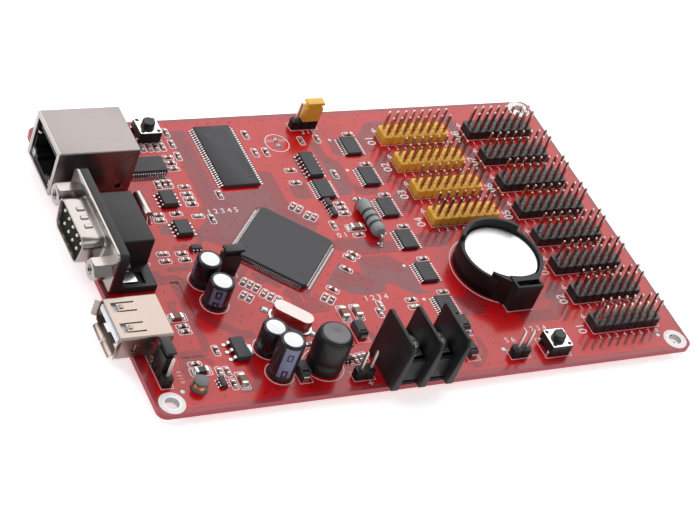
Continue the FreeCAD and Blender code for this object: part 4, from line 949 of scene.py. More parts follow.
@dataclass
class Artwork:
    """What is etched, plated and printed on the board: fields, tracks, vias, pads and white ink."""

    pour_rise: float = 0.02
    field_rise: float = 0.026
    track_rise: float = 0.034
    ink_rise: float = 0.045
    track: float = 0.3
    gap: float = 0.2
    line: float = 0.2
    via_radius: float = 0.27
    via_step: float = 3.1
    via_share: float = 0.62
    via_shift: float = 0.9
    via_clearance: float = 0.9
    via_inset: float = 2.5
    via_border: float = 2.0
    port_number: float = 3.5
    pin_number: float = 1.9
    seed: int = 11
    # areas where tracks run close together and little copper is left between them
    fields: tuple[Any, ...] = (
        ((-38.8, 43.6), (-33.4, 43.6), (-33.4, 22), (-31, 19.6), (-20.5, 20.6), (-18.6, 26.8), (-16, 24.4),
         (-16, 14), (-11.8, 9), (-11.5, 5), (-24.4, -6), (-44.5, 4.5), (-44.5, 7.5), (-40.5, 10.5), (-38.8, 15)),
        ((-13, 20.4), (-8, 21.8), (-8, 16), (-11.5, 15.6), (-13.2, 17)),
        ((0.3, 36.2), (2.2, 36.2), (2.2, 31), (4.6, 28.6), (5, 18.6), (3.2, 15.9), (0.2, 15.9), (0.2, 28.2)),
        ((5.2, 37), (7.5, 37.4), (7.5, 30), (5.4, 31)),
        ((14.8, 30.4), (14.8, 37.4), (20.4, 42.8), (26, 42.8), (21.4, 38.4), (17.6, 33.6)),
        ((14.8, 19), (14.8, 25.8), (17.6, 28.6), (20.6, 30.4), (20.6, 27.4), (17.8, 23.4)),
        ((14.8, 7.4), (14.8, 14), (20.4, 19.4), (20.4, 15.6), (17.6, 11.6)),
        ((14.8, -4.8), (14.8, 0.2), (21.4, 0.2), (27, 1.6), (22, -4.8)),
        ((-17.5, -13.6), (-11.4, -7.4), (-9.2, -10.4), (-6.2, -12.4), (-5.8, -6.6), (3.2, -6.8), (4.8, -9.8),
         (7.4, -10), (7.4, -19), (9.6, -20), (4.6, -20.2), (0.2, -15.7), (-1.8, -15.6), (-2.6, -17.9),
         (-8, -18.6), (-12, -18), (-15, -15.4)),
        ((-9.8, 0.4), (-1, 0.2), (2, -2.2), (7.4, -2.2), (7.4, -4.2), (-3, -4), (-9, -2.6)),
        ((-52.6, 10.6), (-50, 10.4), (-50, 8), (-52, 6.6), (-53.8, 8)),
        ((-36.4, -8.6), (-29.4, -9), (-27.2, -12.4), (-31, -12.6), (-34, -10.8)),
        ((15, -22.4), (20.6, -22.4), (21.4, -28.8), (15, -28.8)),
        ((44.6, 43.2), (47.2, 43.2), (47.2, -4), (44.6, -4)),
        ((40.5, -25.6), (43, -23), (45, -20.6), (47.2, -20.6), (47.2, -29), (43.6, -29)),
    )
    bundles: tuple[Bundle, ...] = (
        Bundle(4, 0.62, ((-60.4, -4.4), (-60.4, -6.4), (-59, -7.5), (-55.6, -7.5), (-54.3, -9), (-54.3, -19),
                         (-46.3, -27), (-43, -27))),
        Bundle(3, 0.62, ((-56.5, -8.2), (-56.5, -29.6), (-57.8, -31), (-64.6, -31))),
        Bundle(2, 0.62, ((-64.2, -38), (-64.2, -33.6), (-63, -32.4), (-59, -32.4), (-56.6, -34.6))),
        Bundle(4, 0.62, ((-29.6, -14.6), (-27.7, -16.6), (-27.7, -19.4), (-25.9, -21.2), (-21.4, -21.2),
                         (-20, -19.8))),
        Bundle(3, 0.62, ((-24.6, -16), (-24.6, -18.6), (-22.6, -18.6), (-21.4, -17))),
        Bundle(3, 0.62, ((-36.6, -5.6), (-40.2, -9.2), (-40.2, -10.4))),
        Bundle(5, 0.6, ((-35.8, -9.8), (-32.4, -9.8), (-29.4, -12.6))),
        Bundle(2, 0.62, ((-52.4, 2.6), (-46.2, 2.6), (-44.6, 4.2), (-44.6, 6.2))),
        Bundle(2, 0.62, ((-56.6, -4.3), (-51.6, -4.3), (-50.4, -3))),
        Bundle(2, 0.62, ((-60.3, -19), (-60.3, -16), (-58.6, -14.3))),
        Bundle(2, 0.62, ((-47.6, -36), (-47.6, -40.2), (-49.8, -43.4), (-53, -43.4))),
        Bundle(4, 0.66, ((-37.4, 43), (-37.4, 15.6), (-40.8, 12.2))),
        Bundle(3, 0.66, ((-34.5, 42.6), (-34.5, 17.6), (-31.1, 14.2))),
        Bundle(5, 0.62, ((-38.4, 9.6), (-42, 6), (-36, 0))),
        Bundle(6, 0.62, ((-17.8, 26.6), (-17.8, 12.6), (-13.4, 8.2), (-12.2, 5.6))),
        Bundle(7, 0.6, ((-8.2, 18.6), (-12.6, 18.6))),
        Bundle(4, 0.6, ((1.2, 36), (1.2, 30.4), (4, 27.6), (4, 19.8), (7, 16.8), (12, 16.8))),
        Bundle(6, 0.62, ((7.4, 33.6), (5.4, 33.6))),
        Bundle(8, 0.62, ((14.8, 34), (16.6, 34), (21, 38.4), (21, 42))),
        Bundle(8, 0.62, ((14.8, 22.2), (16.8, 22.2), (20.8, 26.2), (20.8, 31))),
        Bundle(8, 0.62, ((14.8, 10.6), (16.6, 10.6), (20.6, 14.6), (20.6, 20))),
        Bundle(6, 0.68, ((15, -2.4), (19.6, -2.4), (23.4, 1.2))),
        Bundle(9, 0.66, ((15, -25.4), (19.4, -25.4), (23, -21.8))),
        Bundle(6, 0.62, ((-9.6, -1.2), (-5, -1.2), (-2.6, -3.4), (7.4, -3.4))),
        Bundle(6, 0.66, ((-4.6, -8.2), (2.4, -8.2), (5.4, -11.2))),
        Bundle(7, 0.62, ((-14.6, -12.8), (-8.6, -12.8), (-5.6, -15.8))),
        Bundle(2, 0.62, ((14.6, -36), (14.6, -41), (11, -44.6), (9, -44.6))),
        Bundle(5, 0.66, ((30, -31.6), (40.2, -31.6), (45.6, -26.2), (47, -26.2))),
        Bundle(1, 0.62, ((-13, -36.6), (-13, -31), (-15, -29.6))),
    )
    pads: tuple[tuple[float, float, float], ...] = (
        (-37.3, -19.9, 1.15), (-28.4, -29.0, 1.05), (3.5, 14.2, 0.9), (3.4, -1.9, 0.95), (3.3, -3.1, 0.5),
        (-9.4, 37.9, 0.85), (-9.4, 35.7, 0.85), (-20.2, -33.8, 0.9), (9.6, -41.0, 1.0), (13.6, -34.0, 0.9),
    )

    def __post_init__(self) -> None:
        """Read the board's faces and what stands on it."""
        low, high = cad("circuit_board")
        self.top, self.bottom = high.z, low.z
        self.length, self.width = high.x - low.x, high.y - low.y
        # the heights between which white ink and copper lie
        self.ink = (self.top + self.pour_rise / 2, self.top + self.ink_rise)
        self.copper = (self.top + self.pour_rise / 2, self.top + self.track_rise)
        self.parts: list[Site] = []
        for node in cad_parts:
            if node not in ("circuit_board", "header_tails"):
                self.parts += [site for site in sites(node) if site.z < self.top + 0.5]
        self.ports = [sites(node)[0] for node in PORTS + AUX_PORTS]

    def free(self, x: float, y: float, margin: float) -> bool:
        """Whether no part stands within a margin of a point."""
        for site in self.parts:
            across = Matrix.Rotation(-site.turn, 2) @ Vector((x - site.x, y - site.y))
            if abs(across.x) < site.length / 2 + margin and abs(across.y) < site.width / 2 + margin:
                return False
        return True

    def lay_fields(self) -> None:
        """The darker areas and the tracks that cross them and the copper."""
        areas = [BENCH.slab(area, self.copper[0], self.top + self.field_rise) for area in self.fields]
        BENCH.finish(areas, "track_fields", FIELD)
        gaps = [path for bundle in self.bundles for path in bundle.gaps()]
        lanes = [path for bundle in self.bundles for path in bundle.lanes()]
        BENCH.finish(BENCH.ribbons(gaps, self.gap, *self.copper), "track_gaps", GAP_AND_SHADE)
        BENCH.finish(BENCH.ribbons(lanes, self.track, *self.copper), "tracks", TRACK)
        stripes = [((42 + 2.6 * i, -44.2), (45.4 + 2.6 * i, -40.8)) for i in range(9)]
        stripes += [((42 + 0.1 * i, -34 + 1.7 * i), (46 + 0.1 * i, -30 + 1.7 * i)) for i in range(3)]
        stripes += [((44.8, -3 + 1.3 * i), (47.4, -0.4 + 1.3 * i)) for i in range(34)]
        stripes += [((21.4 + 2.5 * i, 0.4), (23 + 2.5 * i, 2.2)) for i in range(5)]
        base, top = self.copper
        BENCH.finish(BENCH.ribbons(stripes, 0.6, base, top - 0.004), "track_stripes", GAP_AND_SHADE)
        under = [path for y in (-36, -12, 14, 30)
                 for path in Bundle(6, 1.4, ((-60, y), (-20, y), (-14, y + 6), (44, y + 6))).lanes()]
        BENCH.finish(BENCH.ribbons(under, 0.5, self.bottom - 0.04, self.bottom), "tracks_under", TRACK)

    def drill_vias(self) -> None:
        """Small filled vias, scattered where no part stands."""
        draw = random.Random(self.seed)
        places = []
        reach_x, reach_y = self.length / 2 - self.via_border, self.width / 2 - self.via_border
        for column in range(int(self.length / self.via_step)):
            for row in range(int(self.width / self.via_step)):
                x = -self.length / 2 + self.via_inset + column * self.via_step
                x += draw.uniform(-self.via_shift, self.via_shift)
                y = -self.width / 2 + self.via_inset + row * self.via_step
                y += draw.uniform(-self.via_shift, self.via_shift)
                keep = draw.random() < self.via_share
                if keep and self.free(x, y, self.via_clearance) and abs(x) < reach_x and abs(y) < reach_y:
                    places.append(at(x, y))
        for x in range(-38, 20, 3):
            places.append(at(x + 0.3, 45.7))
        dot = BENCH.slab(ring(0, 0, self.via_radius, 8), self.top, self.top + self.track_rise + 0.004)
        BENCH.finish(BENCH.strew(dot, places), "filled_vias", VIA)
        under = BENCH.slab(ring(0, 0, self.via_radius, 8), self.bottom - 0.045, self.bottom)
        BENCH.finish(BENCH.strew(under, places), "filled_vias_under", VIA)

    def solder_pads(self) -> None:
        """Solder under the ends of chip parts, dark strips of painted shade under the chip leads, domes over wires
        and plated hole rims.
        """
        lumps = []
        for site in sites("chip_parts"):
            size = 0.36 if site.length < 2 else 0.6
            reach = site.length / 2 + size * 0.35
            for sign in (1, -1):
                lump = BENCH.block((-size, -site.width / 2 - 0.12, 0.0), (size, site.width / 2 + 0.12, 0.26))
                BENCH.shrink(lump, UP, (0.55, 0.75, 1.0), (0, 0, 0))
                lumps.append(BENCH.move(lump, at(site.x, site.y, self.top, site.turn) @ at(sign * reach, 0)))
        BENCH.finish(lumps, "chip_part_solder", SOLDER)
        domes = [BENCH.turned([(0.0, 0.0), (r, 0.0), (r, 0.06), (r * 0.8, 0.22), (r * 0.4, 0.42), (0.0, 0.46)],
                              (x, y, self.top), 20) for x, y, r in self.pads]
        BENCH.finish(domes, "wire_solder", SOLDER, angle=60)
        # dark strips under the legs of each lead row: painted shade beside the chip bodies
        lead_shade_strips = []
        for node in ("buffer_chips", "interface_chips", "memory_chip", "processor"):
            for site in sites(node):
                half = site.length / 2 - 0.5
                for turn in (0.0, math.pi / 2) if node == "processor" else (0.0,):
                    for sign in (1, -1):
                        y = sign * (site.width / 2 - 0.1)
                        foot = BENCH.block((-half, y - 0.45, 0), (half, y + 0.45, 0.03))
                        lead_shade_strips.append(BENCH.move(foot, at(site.x, site.y, self.top + 0.012, site.turn + turn)))
        BENCH.finish(lead_shade_strips, "chip_lead_painted_shade", GAP_AND_SHADE)
        rims = []
        for x, y in mounting_holes():
            hole = [ring(x, y, HOLE_RADIUS, 40)]
            rims.append(BENCH.slab(ring(x, y, 2.35, 40), self.top, self.top + 0.05, hole))
            rims.append(BENCH.turned([(HOLE_RADIUS, -0.03), (HOLE_RADIUS, 1.64), (1.72, 1.64), (1.72, -0.03)],
                                     (x, y, 0), 40))
            rims.append(BENCH.slab(ring(x, y, 3.0, 40), self.bottom - 0.05, self.bottom, hole))
        BENCH.finish(rims, "mounting_hole_plating", SOLDER)
        marks = [BENCH.slab(ring(x, y, 0.55, 24), self.top - 0.02, self.top + 0.03) for x, y in AIMS]
        BENCH.finish(marks, "aiming_marks", WHITE_INK)

    def print_rings(self) -> list[Thing]:
        """White rings round mounting holes, round parts and the empty round place."""
        ink = []

        def hoop(x: float, y: float, outer: float, inner: float) -> None:
            """Add one ring of ink."""
            ink.append(BENCH.slab(ring(x, y, outer, 56), *self.ink, [ring(x, y, inner, 56)]))

        for x, y in mounting_holes():
            hoop(x, y, 3.2, 2.36)
        for site in sites("capacitor_cans"):
            hoop(site.x, site.y, site.length / 2 + 0.5, site.length / 2 + 0.3)
        drum, cell = sites("drum_inductor")[0], sites("coin_cell")[0]
        hoop(drum.x, drum.y, 5.2, 5.0)
        hoop(cell.x, cell.y, 12.1, 11.88)
        hoop(-9.4, 36.7, 3.4, 3.18)
        ink.append(BENCH.ribbons([((-12.5, 37.4), (-6.3, 37.4)), ((-12.5, 38.0), (-6.3, 38.0))], 0.12, *self.ink))
        return ink

    def print_lines(self) -> list[Thing]:
        """Outlines round headers, buttons and chip parts, and the pin-one marks."""
        paths, marks = [], []
        for site in self.ports + sites("jumper_headers") + sites("spare_headers"):
            paths.append(frame_of(site.x, site.y, site.length + 0.6, site.width + 0.6, site.turn))
        for site in self.ports:
            x, y = site.x - site.length / 2 - 0.3, site.y + site.width / 2 + 0.4
            marks.append(BENCH.slab([(x - 0.5, y), (x + 0.9, y), (x + 0.2, y + 1.3)], *self.ink,
                                    [[(x - 0.15, y + 0.2), (x + 0.55, y + 0.2), (x + 0.2, y + 0.85)]]))
        for site in sites("chip_parts"):
            grow = (1.7, 0.75) if site.length < 2 else (2.2, 0.9)
            paths.append(frame_of(site.x, site.y, site.length + grow[0], site.width + grow[1], site.turn, 0.42, 3))
        for site in sites("button_cases"):
            paths.append(frame_of(site.x, site.y, 7.6, 6.6))
        for site in sites("chip_diodes"):
            paths.append(frame_of(site.x, site.y, site.length + 1.6, site.width + 0.8, site.turn))
        for site in sites("buffer_chips"):
            marks.append(BENCH.slab(ring(site.x - 4.7, site.y + 3.2, 0.45, 16), *self.ink))
        holder = cad("cell_holder")
        paths.append([(holder[0].x + 7.6, holder[0].y - 0.35), (holder[1].x - 7.3, holder[0].y - 0.35),
                      (holder[1].x - 7.3, holder[0].y + 4), (holder[0].x + 7.6, holder[0].y + 4)])
        loops = BENCH.ribbons(paths, self.line, *self.ink, closed=True)
        plus = BENCH.ribbons([((-21.0, -46.0), (-19.6, -46.0)), ((-20.3, -46.7), (-20.3, -45.3))], 0.22, *self.ink)
        return [loops, plus, *marks]

    def print_numbers(self) -> list[Thing]:
        """Plain numbers beside the headers, along their pins and near the small lamps."""
        ink = []
        for index, site in enumerate(self.ports):
            number = index % PORT_COUNT + 1
            ink.append(BENCH.words(f"0{number}", self.port_number, site.x - site.length / 2 - 2.7, site.y - 0.6,
                                   *self.ink, math.pi / 2))
        for index, x in enumerate(spread(8, PIN_PITCH), start=1):
            digit = BENCH.words(str(index), self.pin_number, 0, 0, *self.ink)
            ink.append(BENCH.strew(digit, [at(site.x + x, site.y - site.width / 2 - 1.55) for site in self.ports]))
        for text, size, x, y, turn in (("1 2 3 4 5", 2.4, -34.6, 13.7, 0.0), ("1 2 3 4", 2.4, -6.4, -19.8, 0.0),
                                       ("0 1", 2.4, -5.8, 2.0, 0.0), ("5 6", 2.4, 23.2, -38.2, 0.0),
                                       ("2 1 0", 2.0, 1.4, 40.2, 0.0), ("1 2 3 4", 2.4, 32.2, -35.6, 0.0),
                                       ("0 1 2 3", 1.3, -66.1, -37.4, math.pi / 2), ("7", 1.7, -60.4, -2.2, 0.0)):
            ink.append(BENCH.words(text, size, x, y, *self.ink, turn))
        return ink

    def build(self) -> None:
        """Etch, drill, solder and print."""
        self.lay_fields()
        self.drill_vias()
        self.solder_pads()
        ink = self.print_rings() + self.print_lines() + self.print_numbers()
        BENCH.finish(ink, "white_print", WHITE_INK)


# ---------------------------------------------------------------- pin headers


@dataclass
class PinHeaders:
    """Moulded strips of square pins: the ports, the small headers and their soldered tails."""

    pitch: float = PIN_PITCH
    notch: float = 0.4
    notch_width: float = 0.8
    pit: float = 0.62
    seam: float = 0.14
    pit_floor: float = 0.9
    housing_height: float = 2.5
    pin_side: float = 0.64
    pin_foot: float = 2.4
    tip: float = 0.75
    moulds: dict[tuple[int, int], Thing] = field(default_factory=dict)

    def housing(self, site: Site, columns: int, rows: int) -> Thing:
        """A strip, notched between its positions, with a bevelled top edge.

        Args:
            site: where the strip stands.
            columns: positions along it.
            rows: rows of pins.

        Returns:
            The housing in its place.
        """
        if (columns, rows) not in self.moulds:
            self.moulds[columns, rows] = self.mould(columns, rows)
        return BENCH.twin(self.moulds[columns, rows], site.matrix())

    def mould(self, columns: int, rows: int) -> Thing:
        """The strip that all strips of one size are copied from."""
        half_x, half_y, half_notch = columns * self.pitch / 2, rows * self.pitch / 2, self.notch_width / 2
        front: Outline = [(-half_x, -half_y + self.notch), (-half_x + half_notch, -half_y)]
        for x in spread(columns - 1, self.pitch):
            front += [(x - half_notch, -half_y), (x, -half_y + self.notch), (x + half_notch, -half_y)]
        front += [(half_x - half_notch, -half_y), (half_x, -half_y + self.notch)]
        outline = front + [(-x, -y) for x, y in front]
        strip = BENCH.slab(outline, 0.0, self.housing_height, edge=0.1, steps=2)
        high, shallow = self.housing_height + 1, self.housing_height - self.seam
        tools = [BENCH.block((x - self.seam / 2, -half_y - 1, shallow), (x + self.seam / 2, half_y + 1, high))
                 for x in spread(columns - 1, self.pitch)]
        if rows > 1:
            tools.append(BENCH.block((-half_x - 1, -self.seam / 2, shallow), (half_x + 1, self.seam / 2, high)))
            tools += [BENCH.slab(ring(x, 0, self.pit, 4), self.pit_floor, high)
                      for x in spread(columns - 1, self.pitch)]
        return BENCH.cut(strip, *tools)

    def pin(self, low: float, high: float) -> Thing:
        """A square pin with a tapered tip."""
        half = self.pin_side / 2
        pin = BENCH.block((-half, -half, low), (half, half, high - self.tip))
        BENCH.push(pin, UP, (0, 0, self.tip))
        BENCH.shrink(pin, UP, (0.5, 0.5, 1.0), (0, 0, high))
        return BENCH.soften(pin, 0.035, 1)

    def places(self, site: Site, columns: int, rows: int) -> list[Matrix]:
        """Where the pins of one strip stand."""
        return [site.matrix() @ at(x, y) for x in spread(columns, self.pitch) for y in spread(rows, self.pitch)]

    def pins(self, site: Site, columns: int, rows: int) -> Thing:
        """All the pins of one strip."""
        return BENCH.strew(self.pin(self.pin_foot, site.height), self.places(site, columns, rows))

    def tips(self, site: Site, columns: int, rows: int) -> Thing:
        """Pale metal over the top of each pin: a painted highlight where light falls from above."""
        tip = BENCH.block((-0.245, -0.245, site.height - 0.32), (0.245, 0.245, site.height))
        BENCH.shrink(tip, UP, (0.7, 0.7, 1.0), (0, 0, site.height))
        return BENCH.strew(tip, self.places(site, columns, rows))

    def port(self, node: str, finish: Moulded) -> None:
        """One port with two rows of pins."""
        site = sites(node)[0]
        columns = round(site.length / self.pitch)
        BENCH.finish(self.housing(site, columns, 2), f"{node}_housing", finish, replaces=[node])
        BENCH.finish(self.pins(site, columns, 2), f"{node}_pins", GOLD, replaces=[node])
        # the pale tips are a painted highlight on the pin tops
        BENCH.finish(self.tips(site, columns, 2), f"{node}_pin_tips", PIN_TIP_HIGHLIGHT)

    def small(self, node: str) -> None:
        """A group of single-row strips."""
        strips = sites(node)
        counts = [round(site.length / self.pitch) for site in strips]
        housings = [self.housing(site, count, 1) for site, count in zip(strips, counts)]
        pins = [self.pins(site, count, 1) for site, count in zip(strips, counts)]
        BENCH.finish(housings, f"{node}_housings", BLACK, replaces=[node])
        BENCH.finish(pins, f"{node}_pins", SMALL_PIN, replaces=[node])

    def tails(self) -> None:
        """The soldered pin ends under the ports: a hollow-sided cone of solder on each."""
        cone = BENCH.turned([(0.0, 0.0), (0.74, 0.0), (0.52, -0.22), (0.42, -0.6), (0.34, -1.2), (0.0, -1.5)],
                            (0, 0, 0), 8)
        places = [at(site.x, site.y) for site in sites("header_tails")]
        BENCH.finish(BENCH.strew(cone, places), "header_tails_solder", SOLDER, replaces=["header_tails"], angle=50)

    def build(self) -> None:
        """Make every header and the tails."""
        for node in PORTS:
            self.port(node, HEADER_BLACK)
        for node in AUX_PORTS:
            self.port(node, YELLOW)
        self.small("jumper_headers")
        self.small("spare_headers")
        self.tails()
        for mould in self.moulds.values():
            bpy.data.objects.remove(mould)


@dataclass
class JumperCaps:
    """Pushed-on caps: hollow shells with a grip on their heads."""

    wall: float = 0.6
    roof: float = 0.5
    grip_drop: float = 1.7
    grip_width: float = 1.0
    grip_depth: float = 0.45
    edge: float = 0.1

    def cap(self, node: str, finish: Moulded) -> None:
        """One cap on its own body."""
        low, high = cad(node)
        shell = BENCH.block(low, high, self.edge, 3)
        tools = [BENCH.block((low.x + self.wall, low.y + self.wall, low.z - 1),
                             (high.x - self.wall, high.y - self.wall, high.z - self.roof))]
        bottom = high.z - self.grip_drop
        for axis in (0, 1):
            for side in (low[axis], high[axis]):
                start = [low.x - 1, low.y - 1, bottom]
                end = [high.x + 1, high.y + 1, bottom + self.grip_width]
                start[axis], end[axis] = side - self.grip_depth, side + self.grip_depth
                tools.append(BENCH.block(start, end))
        BENCH.finish(BENCH.cut(shell, *tools), f"{node}_shell", finish, body=node, replaces=[node])

    def build(self) -> None:
        """Make the three caps."""
        self.cap("left_jumper_cap", BLACK_GLOSS)
        self.cap("middle_jumper_cap", BLACK_GLOSS)
        self.cap("back_jumper_cap", YELLOW)


# ---------------------------------------------------------------- chips


@dataclass(frozen=True)
class ChipStyle:
    """A kind of moulded chip, told apart by the length of its moulding."""

    length: float
    leads: int
    pitch: float
    lead_width: float
    span: float
    thick: float = 0.15
    foot: float = 0.6
    corner: float = 0.0
    all_sides: bool = False
    dot: float = 0.35
    marks: int = 0


STYLES = (
    ChipStyle(20.0, 36, 0.5, 0.2, 22.0, 0.13, 0.55, 0.8, True, 0.55, 3),
    ChipStyle(22.2, 27, 0.8, 0.34, 12.6, 0.13, 0.5, 0.0, False, 0.7, 2),
    ChipStyle(6.5, 10, 0.65, 0.24, 6.8, 0.13, 0.6, 0.0, False, 0.3),
    ChipStyle(10.2, 14, 0.65, 0.28, 7.8, 0.18, 0.7, 0.0, False, 0.45),
    ChipStyle(8.7, 7, 1.27, 0.42, 6.1, 0.2, 0.6, 0.0, False, 0.3),
    ChipStyle(4.9, 4, 1.27, 0.42, 6.1, 0.2, 0.6, 0.0, False, 0.3),
    ChipStyle(2.9, 3, 0.95, 0.4, 2.9, 0.14, 0.3, 0.0, False, 0.0),
)


@dataclass
class LeadedChips:
    """Moulded chips with rows of bent leads."""

    draft: float = 0.11
    lift: float = 0.1
    edge: float = 0.05
    tab: float = 3.0
    # the width of the mouldings that have a broad tab
    tab_width: float = 3.5

    def moulding(self, style: ChipStyle, length: float, width: float, height: float) -> Thing:
        """A body that tapers up and down from its parting line, with a pin-one dot and ejector marks.

        Args:
            style: the kind of chip.
            length: along the rows of leads.
            width: across them.
            height: from the board to the top.

        Returns:
            The body at the origin.
        """
        outline = frame_of(0, 0, length, width)
        if style.corner > 0:
            half_x, half_y, inset = length / 2, width / 2, style.corner
            outline = [(half_x, half_y - inset), (half_x - inset, half_y), (inset - half_x, half_y),
                       (-half_x, half_y - inset), (-half_x, inset - half_y), (inset - half_x, -half_y),
                       (half_x - inset, -half_y), (half_x, inset - half_y)]
        middle = (self.lift + height) / 2
        body = BENCH.slab(outline, self.lift, middle)
        BENCH.push(body, UP, (0, 0, height - middle))
        share = ((length - 2 * self.draft) / length, (width - 2 * self.draft) / width, 1.0)
        BENCH.shrink(body, UP, share, (0, 0, height))
        BENCH.shrink(body, -UP, share, (0, 0, self.lift))
        BENCH.soften(body, self.edge, 1, 5.0 if style.corner else 8.0)
        tools = []
        if style.dot > 0:
            inset = style.dot + 0.045 * length + 0.35
            tools.append(BENCH.drum((-length / 2 + inset, -width / 2 + inset, height - 0.06), style.dot, 1.0,
                                    sides=20))
        for sx, sy in ((1, -1), (1, 1), (-1, 1))[:style.marks]:
            tools.append(BENCH.drum((sx * (length / 2 - 2.6), sy * (width / 2 - 2.6), height - 0.04), 0.8, 1.0,
                                    sides=24))
        return BENCH.cut(body, *tools)

    def lead(self, style: ChipStyle, width: float, height: float, lead_width: float) -> Thing:
        """One bent lead on the +Y side: a shoulder, a sloped leg and a flat foot."""
        inner, reach, t = width / 2 - 0.1, style.span / 2, style.thick
        top = (self.lift + height) / 2 + t / 2
        shoulder = inner + 0.1 + (reach - style.foot - inner - 0.1) * 0.45
        heel = reach - style.foot
        outline = [(inner, top - t), (shoulder - 0.3 * t, top - t), (heel - 0.6 * t, 0.35 * t), (heel, 0.0),
                   (reach, 0.0), (reach, t), (heel + 0.35 * t, t), (shoulder + 0.5 * t, top - 0.3 * t),
                   (shoulder, top), (inner, top)]
        return BENCH.facing(outline, -lead_width / 2, lead_width / 2)

    def leads(self, style: ChipStyle, width: float, height: float) -> Thing:
        """All the leads of one chip at the origin."""
        sides = (0.0, math.pi / 2, math.pi, -math.pi / 2) if style.all_sides else (0.0, math.pi)
        places = [at(0, 0, 0, side) @ at(x, 0) for side in sides for x in spread(style.leads, style.pitch)]
        return BENCH.strew(self.lead(style, width, height, style.lead_width), places)

    def tab_leads(self, width: float, height: float) -> Thing:
        """Three narrow leads on one side and a broad tab on the other."""
        style = ChipStyle(6.5, 3, 2.3, 0.75, 7.0, 0.25, 0.9)
        three = BENCH.strew(self.lead(style, width, height, style.lead_width),
                            [at(x, 0) for x in spread(3, style.pitch)])
        tab = BENCH.move(self.lead(style, width, height, self.tab), at(0, 0, 0, math.pi))
        return BENCH.join([three, tab])

    @staticmethod
    def style_of(site: Site) -> ChipStyle:
        """The kind of chip whose length, and then whose width, is nearest."""
        return min(STYLES, key=lambda kind: abs(kind.length - site.length) + abs(kind.span - site.width - 2.2) / 9)

    def group(self, node: str) -> None:
        """Every chip of one CAD node."""
        bodies, rows = [], []
        for site in crowned(node):
            height, place = site.height, site.matrix()
            tabbed = abs(site.width - self.tab_width) < 0.1
            style = STYLES[-1] if tabbed else self.style_of(site)
            bodies.append(BENCH.move(self.moulding(style, site.length, site.width, height), place))
            leads = self.tab_leads(site.width, height) if tabbed else self.leads(style, site.width, height)
            rows.append(BENCH.move(leads, place))
        BENCH.finish(bodies, f"{node}_mouldings", EPOXY, replaces=[node])
        BENCH.finish(rows, f"{node}_leads", TIN, replaces=[node])

    def build(self) -> None:
        """Make the processor, the memory and all smaller chips."""
        for node in ("processor", "memory_chip", "buffer_chips", "interface_chips", "regulator_chips"):
            self.group(node)


# ---------------------------------------------------------------- round parts


